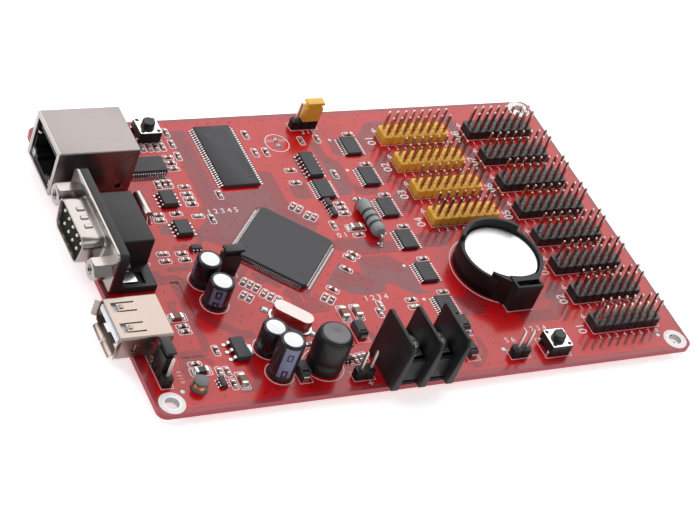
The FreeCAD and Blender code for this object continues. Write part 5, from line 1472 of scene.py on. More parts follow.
@dataclass
class Cans:
    """Sleeved capacitor cans with pale tops, and the larger sleeved coil."""

    lip: float = 0.85
    fold: float = 0.62
    groove: float = 1.3
    stripe_foot: float = 1.8
    stripe_sweep: float = 62.0
    # the middle of each stripe, for cans from the back to the front of the board
    stripe_turns: tuple[float, ...] = (150.0, 240.0, 292.0, 250.0)

    def sleeve(self, radius: float, height: float) -> Thing:
        """A shrunk sleeve with a crimp near its foot, folded in over the rim."""
        top = radius - self.lip
        profile = [(0.0, 0.0), (radius - 0.35, 0.0), (radius - 0.06, 0.18), (radius, 0.45), (radius, 0.95),
                   (radius - 0.14, 1.15), (radius - 0.17, self.groove), (radius - 0.14, 1.45), (radius, 1.7),
                   (radius, height - self.fold), (radius - 0.08, height - 0.3), (radius - 0.3, height - 0.07),
                   (radius - 0.55, height), (top + 0.08, height - 0.02), (top, height - 0.12),
                   (0.0, height - 0.14)]
        return BENCH.turned(profile, (0, 0, 0), 48)

    def top(self, radius: float, height: float) -> Thing:
        """The pale top with its scored vent."""
        disc = BENCH.turned([(0.0, height - 0.3), (radius, height - 0.3), (radius, height - 0.13),
                             (radius - 0.15, height - 0.09), (0.0, height - 0.07)], (0, 0, 0), 40)
        scores = [BENCH.move(BENCH.block((0.25, -0.06, height - 0.12), (radius - 0.45, 0.06, height + 0.5)),
                             at(0, 0, 0, math.radians(30 + 120 * i))) for i in range(3)]
        return BENCH.cut(disc, *scores)

    def build(self) -> None:
        """Make the four cans, their stripes and the coil."""
        sleeves, tops, stripes, signs = [], [], [], []
        cans = sorted(sites("capacitor_cans"), key=lambda site: -site.y)
        for site, turn in zip(cans, self.stripe_turns):
            radius, height = site.length / 2, site.height
            place = at(site.x, site.y, site.z)
            sleeves.append(BENCH.move(self.sleeve(radius, height), place))
            tops.append(BENCH.move(self.top(radius - self.lip + 0.03, height), place))
            band = arc_band(radius - 0.05, radius + 0.012, turn - self.stripe_sweep / 2, self.stripe_sweep)
            band = BENCH.slab(band, self.stripe_foot, height - self.fold)
            stripes.append(BENCH.move(band, place))
            for low in spread(2, height * 0.46):
                middle = height / 2 + low - 0.1
                sign = BENCH.slab(arc_band(radius, radius + 0.025, turn - 13, 26, 4), middle - 1.1, middle + 1.1)
                core = BENCH.slab(arc_band(radius - 1, radius + 1, turn - 6, 12, 2), middle - 0.65, middle + 0.65)
                signs.append(BENCH.move(BENCH.cut(sign, core), place))
        BENCH.finish(sleeves, "capacitor_sleeves", CAN_SLEEVE, replaces=["capacitor_cans"])
        BENCH.finish(tops, "capacitor_tops", CAN_TOP, replaces=["capacitor_cans"])
        BENCH.finish(stripes, "capacitor_stripes", CAN_STRIPE)
        BENCH.finish(signs, "capacitor_signs", CAN_SLEEVE)
        self.coil()

    def coil(self) -> None:
        """The drum-shaped coil in its wrinkled shrink sleeve, with a bare grey end."""
        site = sites("drum_inductor")[0]
        radius, height = site.length / 2, site.height
        profile = [(0.0, 0.0), (radius - 0.5, 0.0), (radius - 0.2, 0.25), (radius - 0.12, 0.9),
                   (radius - 0.18, 2.3), (radius - 0.42, 2.9), (radius - 0.45, 3.4), (radius - 0.16, 4.1),
                   (radius, 5.0), (radius, 8.4),
                   (radius - 0.1, 9.4), (radius - 0.3, 10.3), (radius - 0.65, 10.85), (radius - 1.0, 11.02),
                   (radius - 1.08, 10.9), (0.0, 10.88)]
        sleeve = BENCH.turned(profile, (site.x, site.y, site.z), 56)
        BENCH.finish(sleeve, "drum_inductor_sleeve", SLEEVE, replaces=["drum_inductor"])
        profile = [(0.0, 10.6), (radius - 1.1, 10.6), (radius - 1.1, height - 0.22), (radius - 1.3, height - 0.02),
                   (0.9, height), (0.7, height - 0.12), (0.0, height - 0.12)]
        cap = BENCH.turned(profile, (site.x, site.y, site.z), 48)
        BENCH.finish(cap, "drum_inductor_core", FERRITE, replaces=["drum_inductor"])


@dataclass
class RoundParts:
    """The small coil, the two metal cans and the wire-ended resistor."""

    rim: float = 0.45
    rim_thick: float = 0.5
    wire: float = 0.34
    barrel: float = 11.8
    band: float = 0.42
    clock_lead: float = 0.16

    def small_coil(self) -> None:
        """Two ferrite flanges with copper turns between them."""
        site = sites("small_inductor")[0]
        radius, height = site.length / 2, site.height
        core = BENCH.turned([(0.0, 0.0), (radius, 0.0), (radius, 0.45), (radius - 0.1, 0.55), (1.2, 0.6),
                             (1.2, height - 0.6), (radius - 0.4, height - 0.55), (radius - 0.3, height - 0.45),
                             (radius - 0.3, height - 0.1), (radius - 0.45, height), (0.0, height)],
                            (site.x, site.y, site.z), 40)
        BENCH.finish(core, "small_inductor_core", FERRITE, replaces=["small_inductor"])
        turns = [(1.3, 0.62)]
        for index in range(7):
            turns += [(1.62, 0.64 + index * 0.19), (1.72, 0.72 + index * 0.19)]
        winding = BENCH.turned(turns + [(1.3, height - 0.62)], (site.x, site.y, site.z), 32)
        BENCH.finish(winding, "small_inductor_winding", COPPER, replaces=["small_inductor"])

    def crystal(self) -> None:
        """A drawn can with round ends on a wider rim."""
        site = sites("crystal_can")[0]
        for name, finish, rim, low, high, edge, steps in (
                ("shell", CRYSTAL, self.rim, 0.2, site.height, 0.4, 3),
                ("rim", SCREW_STEEL, 0.0, 0.0, self.rim_thick, 0.1, 2)):
            length, width = site.length - 2 * rim, site.width - 2 * rim
            outline = frame_of(0, 0, length, width, corner=width / 2 - 0.01, sides=10)
            can = BENCH.slab(outline, low, high, edge=edge, steps=steps)
            BENCH.finish(BENCH.move(can, site.matrix()), f"crystal_can_{name}", finish, replaces=["crystal_can"])

    def clock(self) -> None:
        """A thin tube that lies on the board, with two fine leads bent down to their pads."""
        low, high = cad("clock_can")
        core, radius = (low + high) / 2, (high.x - low.x) / 2
        length = high.y - low.y
        tube = BENCH.turned([(0.0, 0.0), (radius - 0.22, 0.0), (radius - 0.03, 0.12), (radius, 0.3),
                             (radius, length - 0.35), (radius - 0.12, length - 0.1), (radius - 0.4, length),
                             (0.0, length)], (core.x, low.y, core.z), 32, Way.Y)
        BENCH.finish(tube, "clock_can_tube", CRYSTAL, replaces=["clock_can"])
        wires = [BENCH.strand([(core.x + sign * 0.4, low.y + 0.1, core.z),
                               (core.x + sign * 0.4, low.y - 0.5, core.z),
                               (core.x + sign * 0.6, low.y - 1.1, low.z + 0.2),
                               (core.x + sign * 0.6, low.y - 1.7, low.z + 0.18)], self.clock_lead, 1, True)
                 for sign in (1, -1)]
        BENCH.finish(wires, "clock_can_leads", TIN)

    def resistor(self) -> None:
        """A banded barrel that stands off the board on its two bent wires."""
        low, high = cad("power_resistor")
        x, y = middle(low, high)
        radius = (high.x - low.x) / 2
        z, half = high.z - radius, self.barrel / 2
        barrel = BENCH.turned([(0.0, -half), (0.7, -half), (1.5, -half + 0.25), (radius - 0.12, -half + 0.8),
                               (radius, -half + 1.5), (radius - 0.1, -half + 2.6), (radius - 0.12, half - 2.6),
                               (radius, half - 1.5), (radius - 0.12, half - 0.8), (1.5, half - 0.25), (0.7, half),
                               (0.0, half)], (x, y, z), 40, Way.Y)
        BENCH.finish(barrel, "power_resistor_barrel", RESISTOR, replaces=["power_resistor"])
        for name, finish, places in (("dark", BAND_DARK, (-2.85, -0.7, 1.5)), ("ochre", BAND_OCHRE, (4.5,))):
            bands = [BENCH.turned([(radius - 0.4, -self.band), (radius - 0.09, -self.band), (radius - 0.07, 0.0),
                                   (radius - 0.09, self.band), (radius - 0.4, self.band)], (x, y + offset, z), 40,
                                  Way.Y) for offset in places]
            BENCH.finish(bands, f"power_resistor_{name}_bands", finish)
        wires = []
        for sign in (1, -1):
            end = (high.y - y - self.wire) * sign
            wires.append(BENCH.strand([(x, y + sign * (half - 0.4), z), (x, y + end * 0.97, z),
                                       (x, y + end, z - 0.3), (x, y + end, low.z)], self.wire, 2))
        BENCH.finish(wires, "power_resistor_wires", TIN, replaces=["power_resistor"])

    def build(self) -> None:
        """Make the four parts."""
        self.small_coil()
        self.crystal()
        self.clock()
        self.resistor()


# ---------------------------------------------------------------- flat parts


class Ceramic(Enum):
    """The body colour of a chip part."""

    TAN = CERAMIC_TAN
    RUST = CERAMIC_RUST
    DARK = CERAMIC_DARK
    LAMP = LAMP


@dataclass
class FlatParts:
    """Chip resistors and capacitors with tinned ends, and moulded diodes."""

    end_share: float = 0.21
    step: float = 0.03
    edge: float = 0.05
    seed: int = 11
    lamps: tuple[tuple[float, float], ...] = ((-55.8, 0.9), (-6.5, -22.5), (2.4, -24.2), (-41.8, 12.5))

    def kind(self, site: Site, draw: random.Random) -> Ceramic:
        """Which body a chip part has."""
        if any(math.hypot(site.x - x, site.y - y) < 0.5 for x, y in self.lamps):
            return Ceramic.LAMP
        return draw.choice((Ceramic.TAN, Ceramic.TAN, Ceramic.RUST, Ceramic.RUST, Ceramic.DARK))

    def body(self, length: float, width: float, height: float) -> Thing:
        """The ceramic middle of a chip part, a little lower than its ends."""
        half = length * (0.5 - self.end_share) + 0.02
        return BENCH.block((-half, -width / 2 + self.step, self.step),
                           (half, width / 2 - self.step, height - self.step), self.edge / 2, 1)

    def ends(self, length: float, width: float, height: float) -> Thing:
        """The two tinned caps of a chip part."""
        inner = length * (0.5 - self.end_share)
        caps = []
        for turn in (0.0, math.pi):
            cap = BENCH.block((inner, -width / 2, 0.0), (length / 2, width / 2, height), self.edge, 2)
            caps.append(BENCH.move(cap, at(0, 0, 0, turn)))
        return BENCH.join(caps)

    def build(self) -> None:
        """Make every chip part and diode."""
        draw = random.Random(self.seed)
        groups: dict[Ceramic, list[Thing]] = {kind: [] for kind in Ceramic}
        caps = []
        for site in sites("chip_parts"):
            size = (site.length, site.width, site.height)
            groups[self.kind(site, draw)].append(BENCH.move(self.body(*size), site.matrix()))
            caps.append(BENCH.move(self.ends(*size), site.matrix()))
        for kind, things in groups.items():
            BENCH.finish(things, f"chip_parts_{kind.name.lower()}", kind.value, replaces=["chip_parts"])
        BENCH.finish(caps, "chip_parts_ends", TIN, replaces=["chip_parts"])
        self.diodes()

    def diodes(self) -> None:
        """Moulded diodes with straps bent under their ends and a pale line at one end."""
        bodies, straps, lines = [], [], []
        for site in crowned("chip_diodes"):
            length, width, height, place = site.length, site.width, site.height, site.matrix()
            body = BENCH.block((-length / 2, -width / 2, 0.12), (length / 2, width / 2, height / 2))
            BENCH.push(body, UP, (0, 0, height / 2))
            BENCH.shrink(body, UP, (0.93, 0.9, 1.0), (0, 0, height))
            bodies.append(BENCH.move(BENCH.soften(body, 0.08, 2, 5.0), place))
            reach = length / 2 + 0.5
            hook = [(length / 2 - 0.9, 0.0), (reach - 0.1, 0.0), (reach, 0.1), (reach, height / 2 + 0.02),
                    (reach - 0.1, height / 2 + 0.12), (length / 2 - 0.1, height / 2 + 0.12),
                    (length / 2 - 0.1, height / 2 - 0.08), (reach - 0.22, height / 2 - 0.08), (reach - 0.22, 0.2),
                    (length / 2 - 0.9, 0.2)]
            for side in (0.0, math.pi):
                straps.append(BENCH.move(BENCH.side(hook, -0.75, 0.75), place @ at(0, 0, 0, side)))
            line = BENCH.block((-length / 2 + 0.55, -width / 2 + 0.15, height - 0.02),
                               (-length / 2 + 0.95, width / 2 - 0.15, height))
            lines.append(BENCH.move(line, place))
        BENCH.finish(bodies, "chip_diodes_mouldings", EPOXY, replaces=["chip_diodes"])
        BENCH.finish(straps, "chip_diodes_straps", TIN, replaces=["chip_diodes"])
        BENCH.finish(lines, "chip_diodes_lines", WHITE_INK)


# ---------------------------------------------------------------- network jack


@dataclass
class NetworkJack:
    """A shielded jack: folded sheet, moulded insert, spring wires and two light pipes."""

    sheet: float = 0.3
    lip: float = 1.3
    mouth_width: float = 11.8
    mouth_low: float = 5.2
    mouth_high: float = 12.0
    mouth_depth: float = 13.0
    latch_width: float = 6.2
    latch_low: float = 3.4
    step_width: float = 9.0
    wire_count: int = 8
    wire_pitch: float = 1.02
    wire_radius: float = 0.17
    seam: float = 0.12
    seam_set: float = 5.0
    seam_drop: float = 4.6
    groove: float = 0.08
    light_width: float = 2.4
    peg_spread: float = 5.7

    def __post_init__(self) -> None:
        """Read the box of the shield from the CAD model."""
        self.low, self.high = cad("network_jack_shield")
        self.foot = BOARD_TOP
        self.middle = (self.low.y + self.high.y) / 2

    def shield(self) -> None:
        """The folded sheet with its seams, windows, slots and board tabs."""
        low, high, sheet = self.low, self.high, self.sheet
        shell = BENCH.block((low.x, low.y, self.foot), (high.x, high.y, high.z), 0.32, 3)
        tools = [BENCH.block((low.x - 1, low.y + sheet, self.foot - 1),
                             (high.x - sheet, high.y - sheet, high.z - sheet)),
                 BENCH.block((high.x - 4.2, low.y - 1, self.foot + 1.2),
                             (high.x - 2.7, high.y + 1, self.foot + 2.7))]
        for front, back in ((low.y - 0.1, low.y + 0.12), (high.y - 0.12, high.y + 0.1)):
            tools.append(BENCH.block((low.x + 1.5, front, high.z - 0.5), (low.x + 8.3, back, high.z - 0.36)))
        start, end = (high.x - self.seam_set, high.z - self.seam_drop), (high.x - 0.2, high.z - 0.4)
        for y in (low.y, high.y):
            front, back = y - self.groove, y + self.groove
            tools.append(BENCH.block((start[0], front, self.foot - 0.5), (start[0] + self.seam, back, start[1])))
            tools.append(BENCH.side([start, (start[0] + self.seam, start[1]), (end[0] + self.seam, end[1]), end],
                                    front, back))
        for y in (low.y + 3.0, high.y - 3.0):
            tools.append(BENCH.block((high.x - self.groove, y, self.foot - 0.5),
                                     (high.x + 0.5, y + self.seam, high.z - 0.4)))
        shell = BENCH.cut(shell, *tools)
        BENCH.finish(shell, "network_jack_shield_sheet", SHIELD, replaces=["network_jack_shield"])
        self.sides()

    def sides(self) -> None:
        """The brighter rolled front edge and the board tabs."""
        low, high = self.low, self.high
        width, height, rise = high.y - low.y, high.z - self.foot, (self.foot + high.z) / 2
        mouth = frame_of(self.middle, rise - 0.3, width - 2 * self.lip, height - self.lip - 0.6, corner=0.3)
        outline = frame_of(self.middle, rise, width, height, corner=0.3)
        parts = [BENCH.facing(outline, low.x, low.x + 0.35, [mouth], 0.1)]
        for y in (low.y + self.sheet / 2, high.y - self.sheet / 2):
            tab = prong(low.x + 9.0, 0.8, 0.4, 1.7, -0.9)
            parts.append(BENCH.side(tab, y - self.sheet / 2, y + self.sheet / 2, 0.05, 1))
        BENCH.finish(parts, "network_jack_shield_rim", NICKEL, replaces=["network_jack_shield"])

    def insert(self) -> None:
        """The black moulding with the plug's cavity, the latch channel and two round pegs."""
        low, high = cad("network_jack_insert")
        foot = self.foot
        block = BENCH.block((low.x, low.y, foot), (high.x, high.y, high.z), 0.15)
        y, deep = self.middle, low.x + self.mouth_depth
        openings = ((self.mouth_width, self.mouth_low, self.mouth_high),
                    (self.latch_width, self.latch_low, self.mouth_low + 1),
                    (self.step_width, self.mouth_low - 0.8, self.mouth_low + 1))
        tools = [BENCH.block((low.x - 1, y - width / 2, bottom), (deep, y + width / 2, top))
                 for width, bottom, top in openings]
        for y_low, y_high in ((low.y + 0.3, low.y + 2.9), (high.y - 2.9, high.y - 0.3)):
            tools.append(BENCH.block((low.x - 1, y_low, 2.1), (low.x + 12.1, y_high, 4.5)))
        tools.append(BENCH.block((low.x - 1, high.y - 2.6, 8.6), (low.x + 4, high.y - 1.2, 13.4)))
        block = BENCH.cut(block, *tools)
        peg = [(0.0, -1.5), (0.9, -1.5), (1.5, -0.8), (1.6, -0.2), (1.6, foot + 0.3), (0.0, foot + 0.3)]
        pegs = [BENCH.turned(peg, (high.x - 5.6, y + sign * self.peg_spread, 0), 24) for sign in (1, -1)]
        BENCH.finish([block, *pegs], "network_jack_insert_moulding", BLACK,
                     replaces=["network_jack_insert"])

    def wires(self) -> None:
        """Eight spring wires that slope into the plug's cavity."""
        low, high = cad("network_jack_contacts")
        path = ((low.x + 0.3, high.z - 0.15), (low.x + 1.6, high.z - 0.6), (high.x - 1.5, low.z + 0.5),
                (high.x - 0.2, low.z + 0.2))
        strands = [BENCH.strand([(x, self.middle + y, z) for x, z in path], self.wire_radius, 1, True)
                   for y in spread(self.wire_count, self.wire_pitch)]
        BENCH.finish(strands, "network_jack_spring_wires", GOLD, replaces=["network_jack_contacts"])

    def lights(self) -> None:
        """A green and a pale light pipe with domed faces, and the pale latch spring above."""
        low, high = cad("network_jack_lights")
        for name, finish, y in (("front", LIGHT_GREEN, low.y), ("back", LIGHT_PALE, high.y - self.light_width)):
            pipe = BENCH.block((low.x, y, low.z), (high.x, y + self.light_width, high.z), 0.3, 3)
            BENCH.finish(pipe, f"network_jack_{name}_light", finish, replaces=["network_jack_lights"])
        spring = BENCH.slab(frame_of(0, 0, 3.0, 1.6, corner=0.75), -0.3, 0.3, edge=0.25, steps=3)
        spring = BENCH.move(spring, at(self.low.x + 1.9, self.high.y - 2.0, 10.0))
        BENCH.finish(spring, "network_jack_latch_spring", NICKEL)

    def build(self) -> None:
        """Make the whole jack."""
        self.shield()
        self.insert()
        self.wires()
        self.lights()


# ---------------------------------------------------------------- serial connector


@dataclass
class SerialConnector:
    """A nine-pin D connector: flange with its skirt, moulding, pins, jack nuts and board clips."""

    flange: float = 0.5
    corner: float = 1.6
    dee_width: float = 16.9
    dee_height: float = 8.4
    dee_taper: float = 1.45
    dee_round: float = 2.2
    dee_steps: int = 6
    dimple_step: float = 2.9
    wall: float = 0.45
    # the insulator face sits close to the mouth of the skirt, where it paints the shade inside it
    face_set: float = 0.9
    lift: float = 7.9
    pin_pitch: float = 2.77
    pin_row: float = 2.84
    pin_radius: float = 0.5
    nut_across: float = 4.8
    nut_spread: float = 25.0
    thread_radius: float = 1.38
    thread_step: float = 0.42

    def __post_init__(self) -> None:
        """Read the boxes of the shell and the moulding from the CAD model."""
        self.low, self.high = cad("serial_shell")
        self.middle = (self.low.y + self.high.y) / 2
        self.front = self.high.x - self.flange
        self.face = self.low.x + self.face_set

    def nut_places(self) -> list[float]:
        """Where the jack nuts, the clips and their openings are in Y."""
        return [self.middle + sign * self.nut_spread / 2 for sign in (1, -1)]

    def dee(self, shrink: float) -> Outline:
        """The D outline in Y and Z, drawn in by a margin, with round corners."""
        half, height = self.dee_width / 2 - shrink, self.dee_height / 2 - shrink
        radius = self.dee_round - shrink
        low = half - self.dee_taper
        corners = [Vector(corner) for corner in ((half, height), (-half, height), (-low, -height), (low, -height))]
        outline: Outline = []
        for index, here in enumerate(corners):
            back = (corners[index - 1] - here).normalized()
            ahead = (corners[(index + 1) % 4] - here).normalized()
            opening = back.angle(ahead)
            reach = radius / math.tan(opening / 2)
            centre = here + (back + ahead).normalized() * (radius / math.sin(opening / 2))
            first, last = here + back * reach - centre, here + ahead * reach - centre
            sweep = math.pi - opening
            if (Matrix.Rotation(sweep, 2) @ first - last).length > 0.01:
                sweep = -sweep
            for step in range(self.dee_steps + 1):
                turn = Matrix.Rotation(sweep * step / self.dee_steps, 2) @ first
                outline.append((self.middle + centre.x + turn.x, self.lift + centre.y + turn.y))
        return outline

    def plate(self, low: Vector, high: Vector, corner: float, sides: int) -> Outline:
        """The outline in Y and Z of a box that stands on the board."""
        return frame_of(self.middle, (BOARD_TOP + high.z) / 2, high.y - low.y, high.z - BOARD_TOP, corner=corner,
                        sides=sides)

    def shell(self) -> None:
        """The plated flange and the tapered skirt, joined by a rounded root."""
        low, high = self.low, self.high
        plate = self.plate(low, high, self.corner, 6)
        flange = BENCH.facing(plate, self.front, high.x, [self.dee(self.wall)], 0.12)
        skirt = BENCH.facing(self.dee(0.0), low.x, self.front + 0.1, [self.dee(self.wall)])
        BENCH.soften(skirt, 0.14, 2, 40.0)
        root = BENCH.facing(self.dee(-0.5), self.front - 0.45, self.front + 0.1, [self.dee(0.05)])
        BENCH.shrink(root, LEFT, (1.0, 0.94, 0.885), (0, self.middle, self.lift))
        rise = self.lift + self.dee_height / 2
        dimples = [BENCH.block((low.x + 1.9, self.middle + y - 0.6, rise - 0.4),
                               (low.x + 4.0, self.middle + y + 0.6, rise + 0.34), 0.28, 4)
                   for y in spread(3, self.dimple_step)]
        BENCH.finish([flange, skirt, root, *dimples], "serial_shell_sheet", NICKEL, replaces=["serial_shell"],
                     angle=40)

    def housing(self) -> None:
        """The bar behind the flange, the moulded block, the stepped foot and the insulator face, set near the mouth
        as painted shade.
        """
        low, high = cad("serial_housing")
        bar = BENCH.facing(self.plate(low, high, 1.3, 5), low.x, low.x + 2.4, (), 0.15)
        half, back = self.dee_width / 2, low.x + 2.3
        block = BENCH.block((back, self.middle - half, BOARD_TOP), (high.x, self.middle + half, 11.6), 0.35, 3)
        foot = BENCH.slab([(back, low.y), (high.x, low.y), (high.x, high.y), (back, high.y)], BOARD_TOP, 3.6,
                          edge=0.15)
        openings = []
        for y in self.nut_places():
            openings.append(BENCH.block((high.x - 5.4, y - 1.0, 0), (high.x - 4.2, y + 1.0, 6)))
            openings.append(BENCH.block((low.x + 4.2, y - 1.9, 2.8), (high.x - 2.6, y + 1.9, 6)))
        foot = BENCH.cut(foot, *openings)
        # real insulator brought near the mouth and made near black: painted shade inside the skirt
        face = BENCH.facing(self.dee(self.wall + 0.02), self.face, low.x + 0.3)
        BENCH.finish([bar, block, foot], "serial_housing_moulding", DARK_GREY, replaces=["serial_housing"])
        BENCH.finish(face, "serial_insulator_painted_shade", INSULATOR_AND_SHADE)

    def pins(self) -> None:
        """Nine round pins with domed tips."""
        start, radius = self.face - 0.4, self.pin_radius
        length = cad("serial_pins")[1].x - start
        profile = [(0.0, 0.0), (0.22, 0.04), (0.4, 0.22), (radius, 0.5), (radius, length), (0.0, length)]
        pins = [BENCH.turned(profile, (start, self.middle + y, self.lift + row * self.pin_row / 2), 16, Way.X)
                for row, count in ((1, 5), (-1, 4)) for y in spread(count, self.pin_pitch)]
        BENCH.finish(pins, "serial_round_pins", PALE_GOLD, replaces=["serial_pins"])

    def thread(self, count: int, crest: float, root: float, root_radius: float, start: float,
               end: float) -> Outline:
        """The profile of a threaded rod, with so many crests and roots between its two ends."""
        profile = [(0.0, start)]
        for rise in (self.thread_step * index for index in range(count)):
            profile += [(self.thread_radius, crest + rise), (root_radius, root + rise)]
        return profile + [(0.0, end)]

    def nuts(self) -> None:
        """Hexagonal jack nuts with chamfered ends and threaded bores, and their studs behind the bar."""
        low, high = cad("serial_jack_nuts")
        length = high.x - low.x
        nuts = []
        ridges = self.thread(9, -0.1, 0.1, 1.18, -0.1, 3.7)
        stud = self.thread(5, 0.05, 0.26, 1.12, 0.0, 2.2)
        for y in self.nut_places():
            nut = BENCH.drum((low.x, y, self.lift), self.nut_across / math.sqrt(3), length, Way.X, 6)
            cone = BENCH.turned([(0.0, 0.0), (2.3, 0.0), (2.9, 0.45), (2.9, length), (0.0, length)],
                                (low.x, y, self.lift), 32, Way.X)
            BENCH.modify(nut, "BOOLEAN", operation="INTERSECT", solver="EXACT", object=cone)
            bpy.data.objects.remove(cone)
            nuts.append(BENCH.cut(nut, BENCH.turned(ridges, (low.x, y, self.lift), 24, Way.X)))
            nuts.append(BENCH.turned(stud, (self.high.x + 2.35, y, self.lift), 20, Way.X))
        BENCH.finish(nuts, "serial_hexagon_nuts", BRASS_NUT, replaces=["serial_jack_nuts"], angle=25)

    def clips(self) -> None:
        """Bent clips that tie the connector to the board."""
        low, high = cad("serial_board_clips")
        clips = []
        for y in self.nut_places():
            strap = [(low.x, 3.6), (high.x, 3.6), (high.x, 4.1), (low.x + 1.0, 4.1), (low.x + 0.65, 4.25),
                     (low.x + 0.5, 4.6), (low.x + 0.5, 9.1), (low.x, 9.1)]
            clips.append(BENCH.side(strap, y - 1.6, y + 1.6, 0.08))
            leg = prong(high.x - 0.25, 0.25, 0.1, 3.8)
            clips.append(BENCH.side(leg, y - 0.8, y + 0.8, 0.06, 1))
        BENCH.finish(clips, "serial_clips", CLIP_STEEL, replaces=["serial_board_clips"])

    def build(self) -> None:
        """Make the whole connector."""
        self.shell()
        self.housing()
        self.pins()
        self.nuts()
        self.clips()


# ---------------------------------------------------------------- usb socket


@dataclass
class UsbSocket:
    """A folded socket with flared lips, sprung fingers, a pale tongue and its contacts."""

    sheet: float = 0.3
    top: float = 8.3
    depth: float = 13.0
    corner: float = 0.6
    lip: float = 1.2
    flare: float = 0.8
    finger_start: float = 1.4
    finger_length: float = 5.5
    finger_width: float = 2.6
    finger_gap: float = 0.4
    finger_spread: float = 3.2
    pad_pitch: float = 2.3
    blade: float = 1.84

    def __post_init__(self) -> None:
        """Work out the body of the shell inside its flared lips."""
        low, high = cad("usb_shell")
        self.front = low.x + self.lip
        self.back = self.front + self.depth
        self.middle = (low.y + high.y) / 2
        self.half = (high.y - low.y) / 2 - self.flare
        self.foot = BOARD_TOP

    def shell(self) -> None:
        """The folded tube with its back wall, slits, dimples, lips and board tabs."""
        height, width = self.top - self.foot, 2 * self.half
        rise = (self.top + self.foot) / 2
        outer, inner = (frame_of(self.middle, rise, width - 2 * inset, height - 2 * inset,
                                 corner=self.corner - inset, sides=5) for inset in (0.0, self.sheet))
        tube = BENCH.facing(outer, self.front, self.back, [inner])
        wall = BENCH.facing(frame_of(self.middle, rise, width - 0.2, height - 0.2, corner=0.5),
                            self.back - self.sheet, self.back - 0.02, (), 0.05)
        tools = []
        start = self.front + self.finger_start
        for sign in (1, -1):
            y = self.middle + sign * self.finger_spread
            for step in (1, -1):
                side = y + step * self.finger_width / 2
                tools.append(BENCH.block((start - 0.2, side - self.finger_gap / 2, self.foot - 1),
                                         (start + self.finger_length, side + self.finger_gap / 2, self.top + 1)))
            tools.append(BENCH.block((start - 0.2, y - self.finger_width / 2, self.foot - 1),
                                     (start + 1.1, y + self.finger_width / 2, self.top + 1)))
            side_y = self.middle + sign * self.half
            for reach, bottom, top in ((7.0, -1.3, -0.95), (7.0, 0.95, 1.3), (2.6, -1.3, 1.3)):
                tools.append(BENCH.block((start + 2.0, side_y - 1, rise + bottom),
                                         (start + reach, side_y + 1, rise + top)))
        tube = BENCH.cut(tube, *tools)
        BENCH.soften(tube, 0.05, 1, 50.0)
        bumps = [BENCH.ball((start + 1.95, self.middle + sign * self.finger_spread, z), 0.75, 0.5, 16)
                 for sign in (1, -1) for z in (self.top - 0.08, self.foot + 0.08)]
        parts = [tube, wall, *bumps, *self.lips(), *self.tabs()]
        BENCH.finish(parts, "usb_shell_sheet", USB_SHEET, replaces=["usb_shell"], angle=25)

    def lips(self) -> list[Thing]:
        """The flared lips beside and below the mouth."""
        x, sheet = self.front, self.sheet
        reach = self.half - 1.5
        lips = []
        z = self.foot
        flare = [(x + 0.3, z + sheet), (x + 0.3, z), (x, z), (x - 0.5, z - 0.2), (x - self.lip, z - self.flare),
                 (x - self.lip, z - self.flare + sheet), (x - 0.5, z + 0.1), (x, z + sheet)]
        for low, high in ((self.middle - reach, self.middle - 0.2), (self.middle + 0.2, self.middle + reach)):
            lips.append(BENCH.side(flare, low, high, 0.06, 1))
        for sign in (1, -1):
            y = self.middle + sign * self.half
            wing = [(x + 0.3, y - sign * sheet), (x + 0.3, y), (x, y), (x - 0.5, y + sign * 0.2),
                    (x - self.lip, y + sign * self.flare), (x - self.lip, y + sign * (self.flare - sheet)),
                    (x - 0.5, y - sign * 0.1), (x, y - sign * sheet)]
            lips.append(BENCH.slab(wing, self.foot + 1.0, self.top - 1.0, edge=0.06, steps=1))
        return lips

    def tabs(self) -> list[Thing]:
        """Two tabs that pass through the board."""
        x = self.front + 8.5
        tabs = []
        for sign in (1, -1):
            y = self.middle + sign * (self.half - self.sheet / 2)
            outline = prong(x, 0.8, 0.4, self.foot + 0.6)
            tabs.append(BENCH.side(outline, y - self.sheet / 2, y + self.sheet / 2, 0.05, 1))
        return tabs

    def tongue(self) -> None:
        """The pale blade with its chamfered nose, its base and four contacts below."""
        low, high = cad("usb_tongue")
        pads_low, pads_high = cad("usb_contacts")
        bottom, top = pads_high.z, pads_high.z + self.blade
        tip = self.front - 0.3
        nose = [(tip, bottom + 0.3), (tip + 0.4, bottom), (high.x - 1.0, bottom), (high.x - 1.0, top),
                (tip + 0.3, top), (tip, top - 0.25)]
        blade = BENCH.side(nose, self.middle - 5.55, self.middle + 5.55, 0.12)
        base = BENCH.block((high.x - 2.6, low.y, low.z), (high.x, high.y, high.z), 0.12)
        BENCH.finish([blade, base], "usb_tongue_moulding", WHITE, replaces=["usb_tongue"])
        strips = [BENCH.block((pads_low.x, self.middle + y - 0.5, pads_low.z),
                              (pads_high.x, self.middle + y + 0.5, pads_high.z), 0.07, 2)
                  for y in spread(4, self.pad_pitch)]
        BENCH.finish(strips, "usb_contact_strips", GOLD, replaces=["usb_contacts"])

    def build(self) -> None:
        """Make the whole socket."""
        self.shell()
        self.tongue()


# ---------------------------------------------------------------- screw terminal


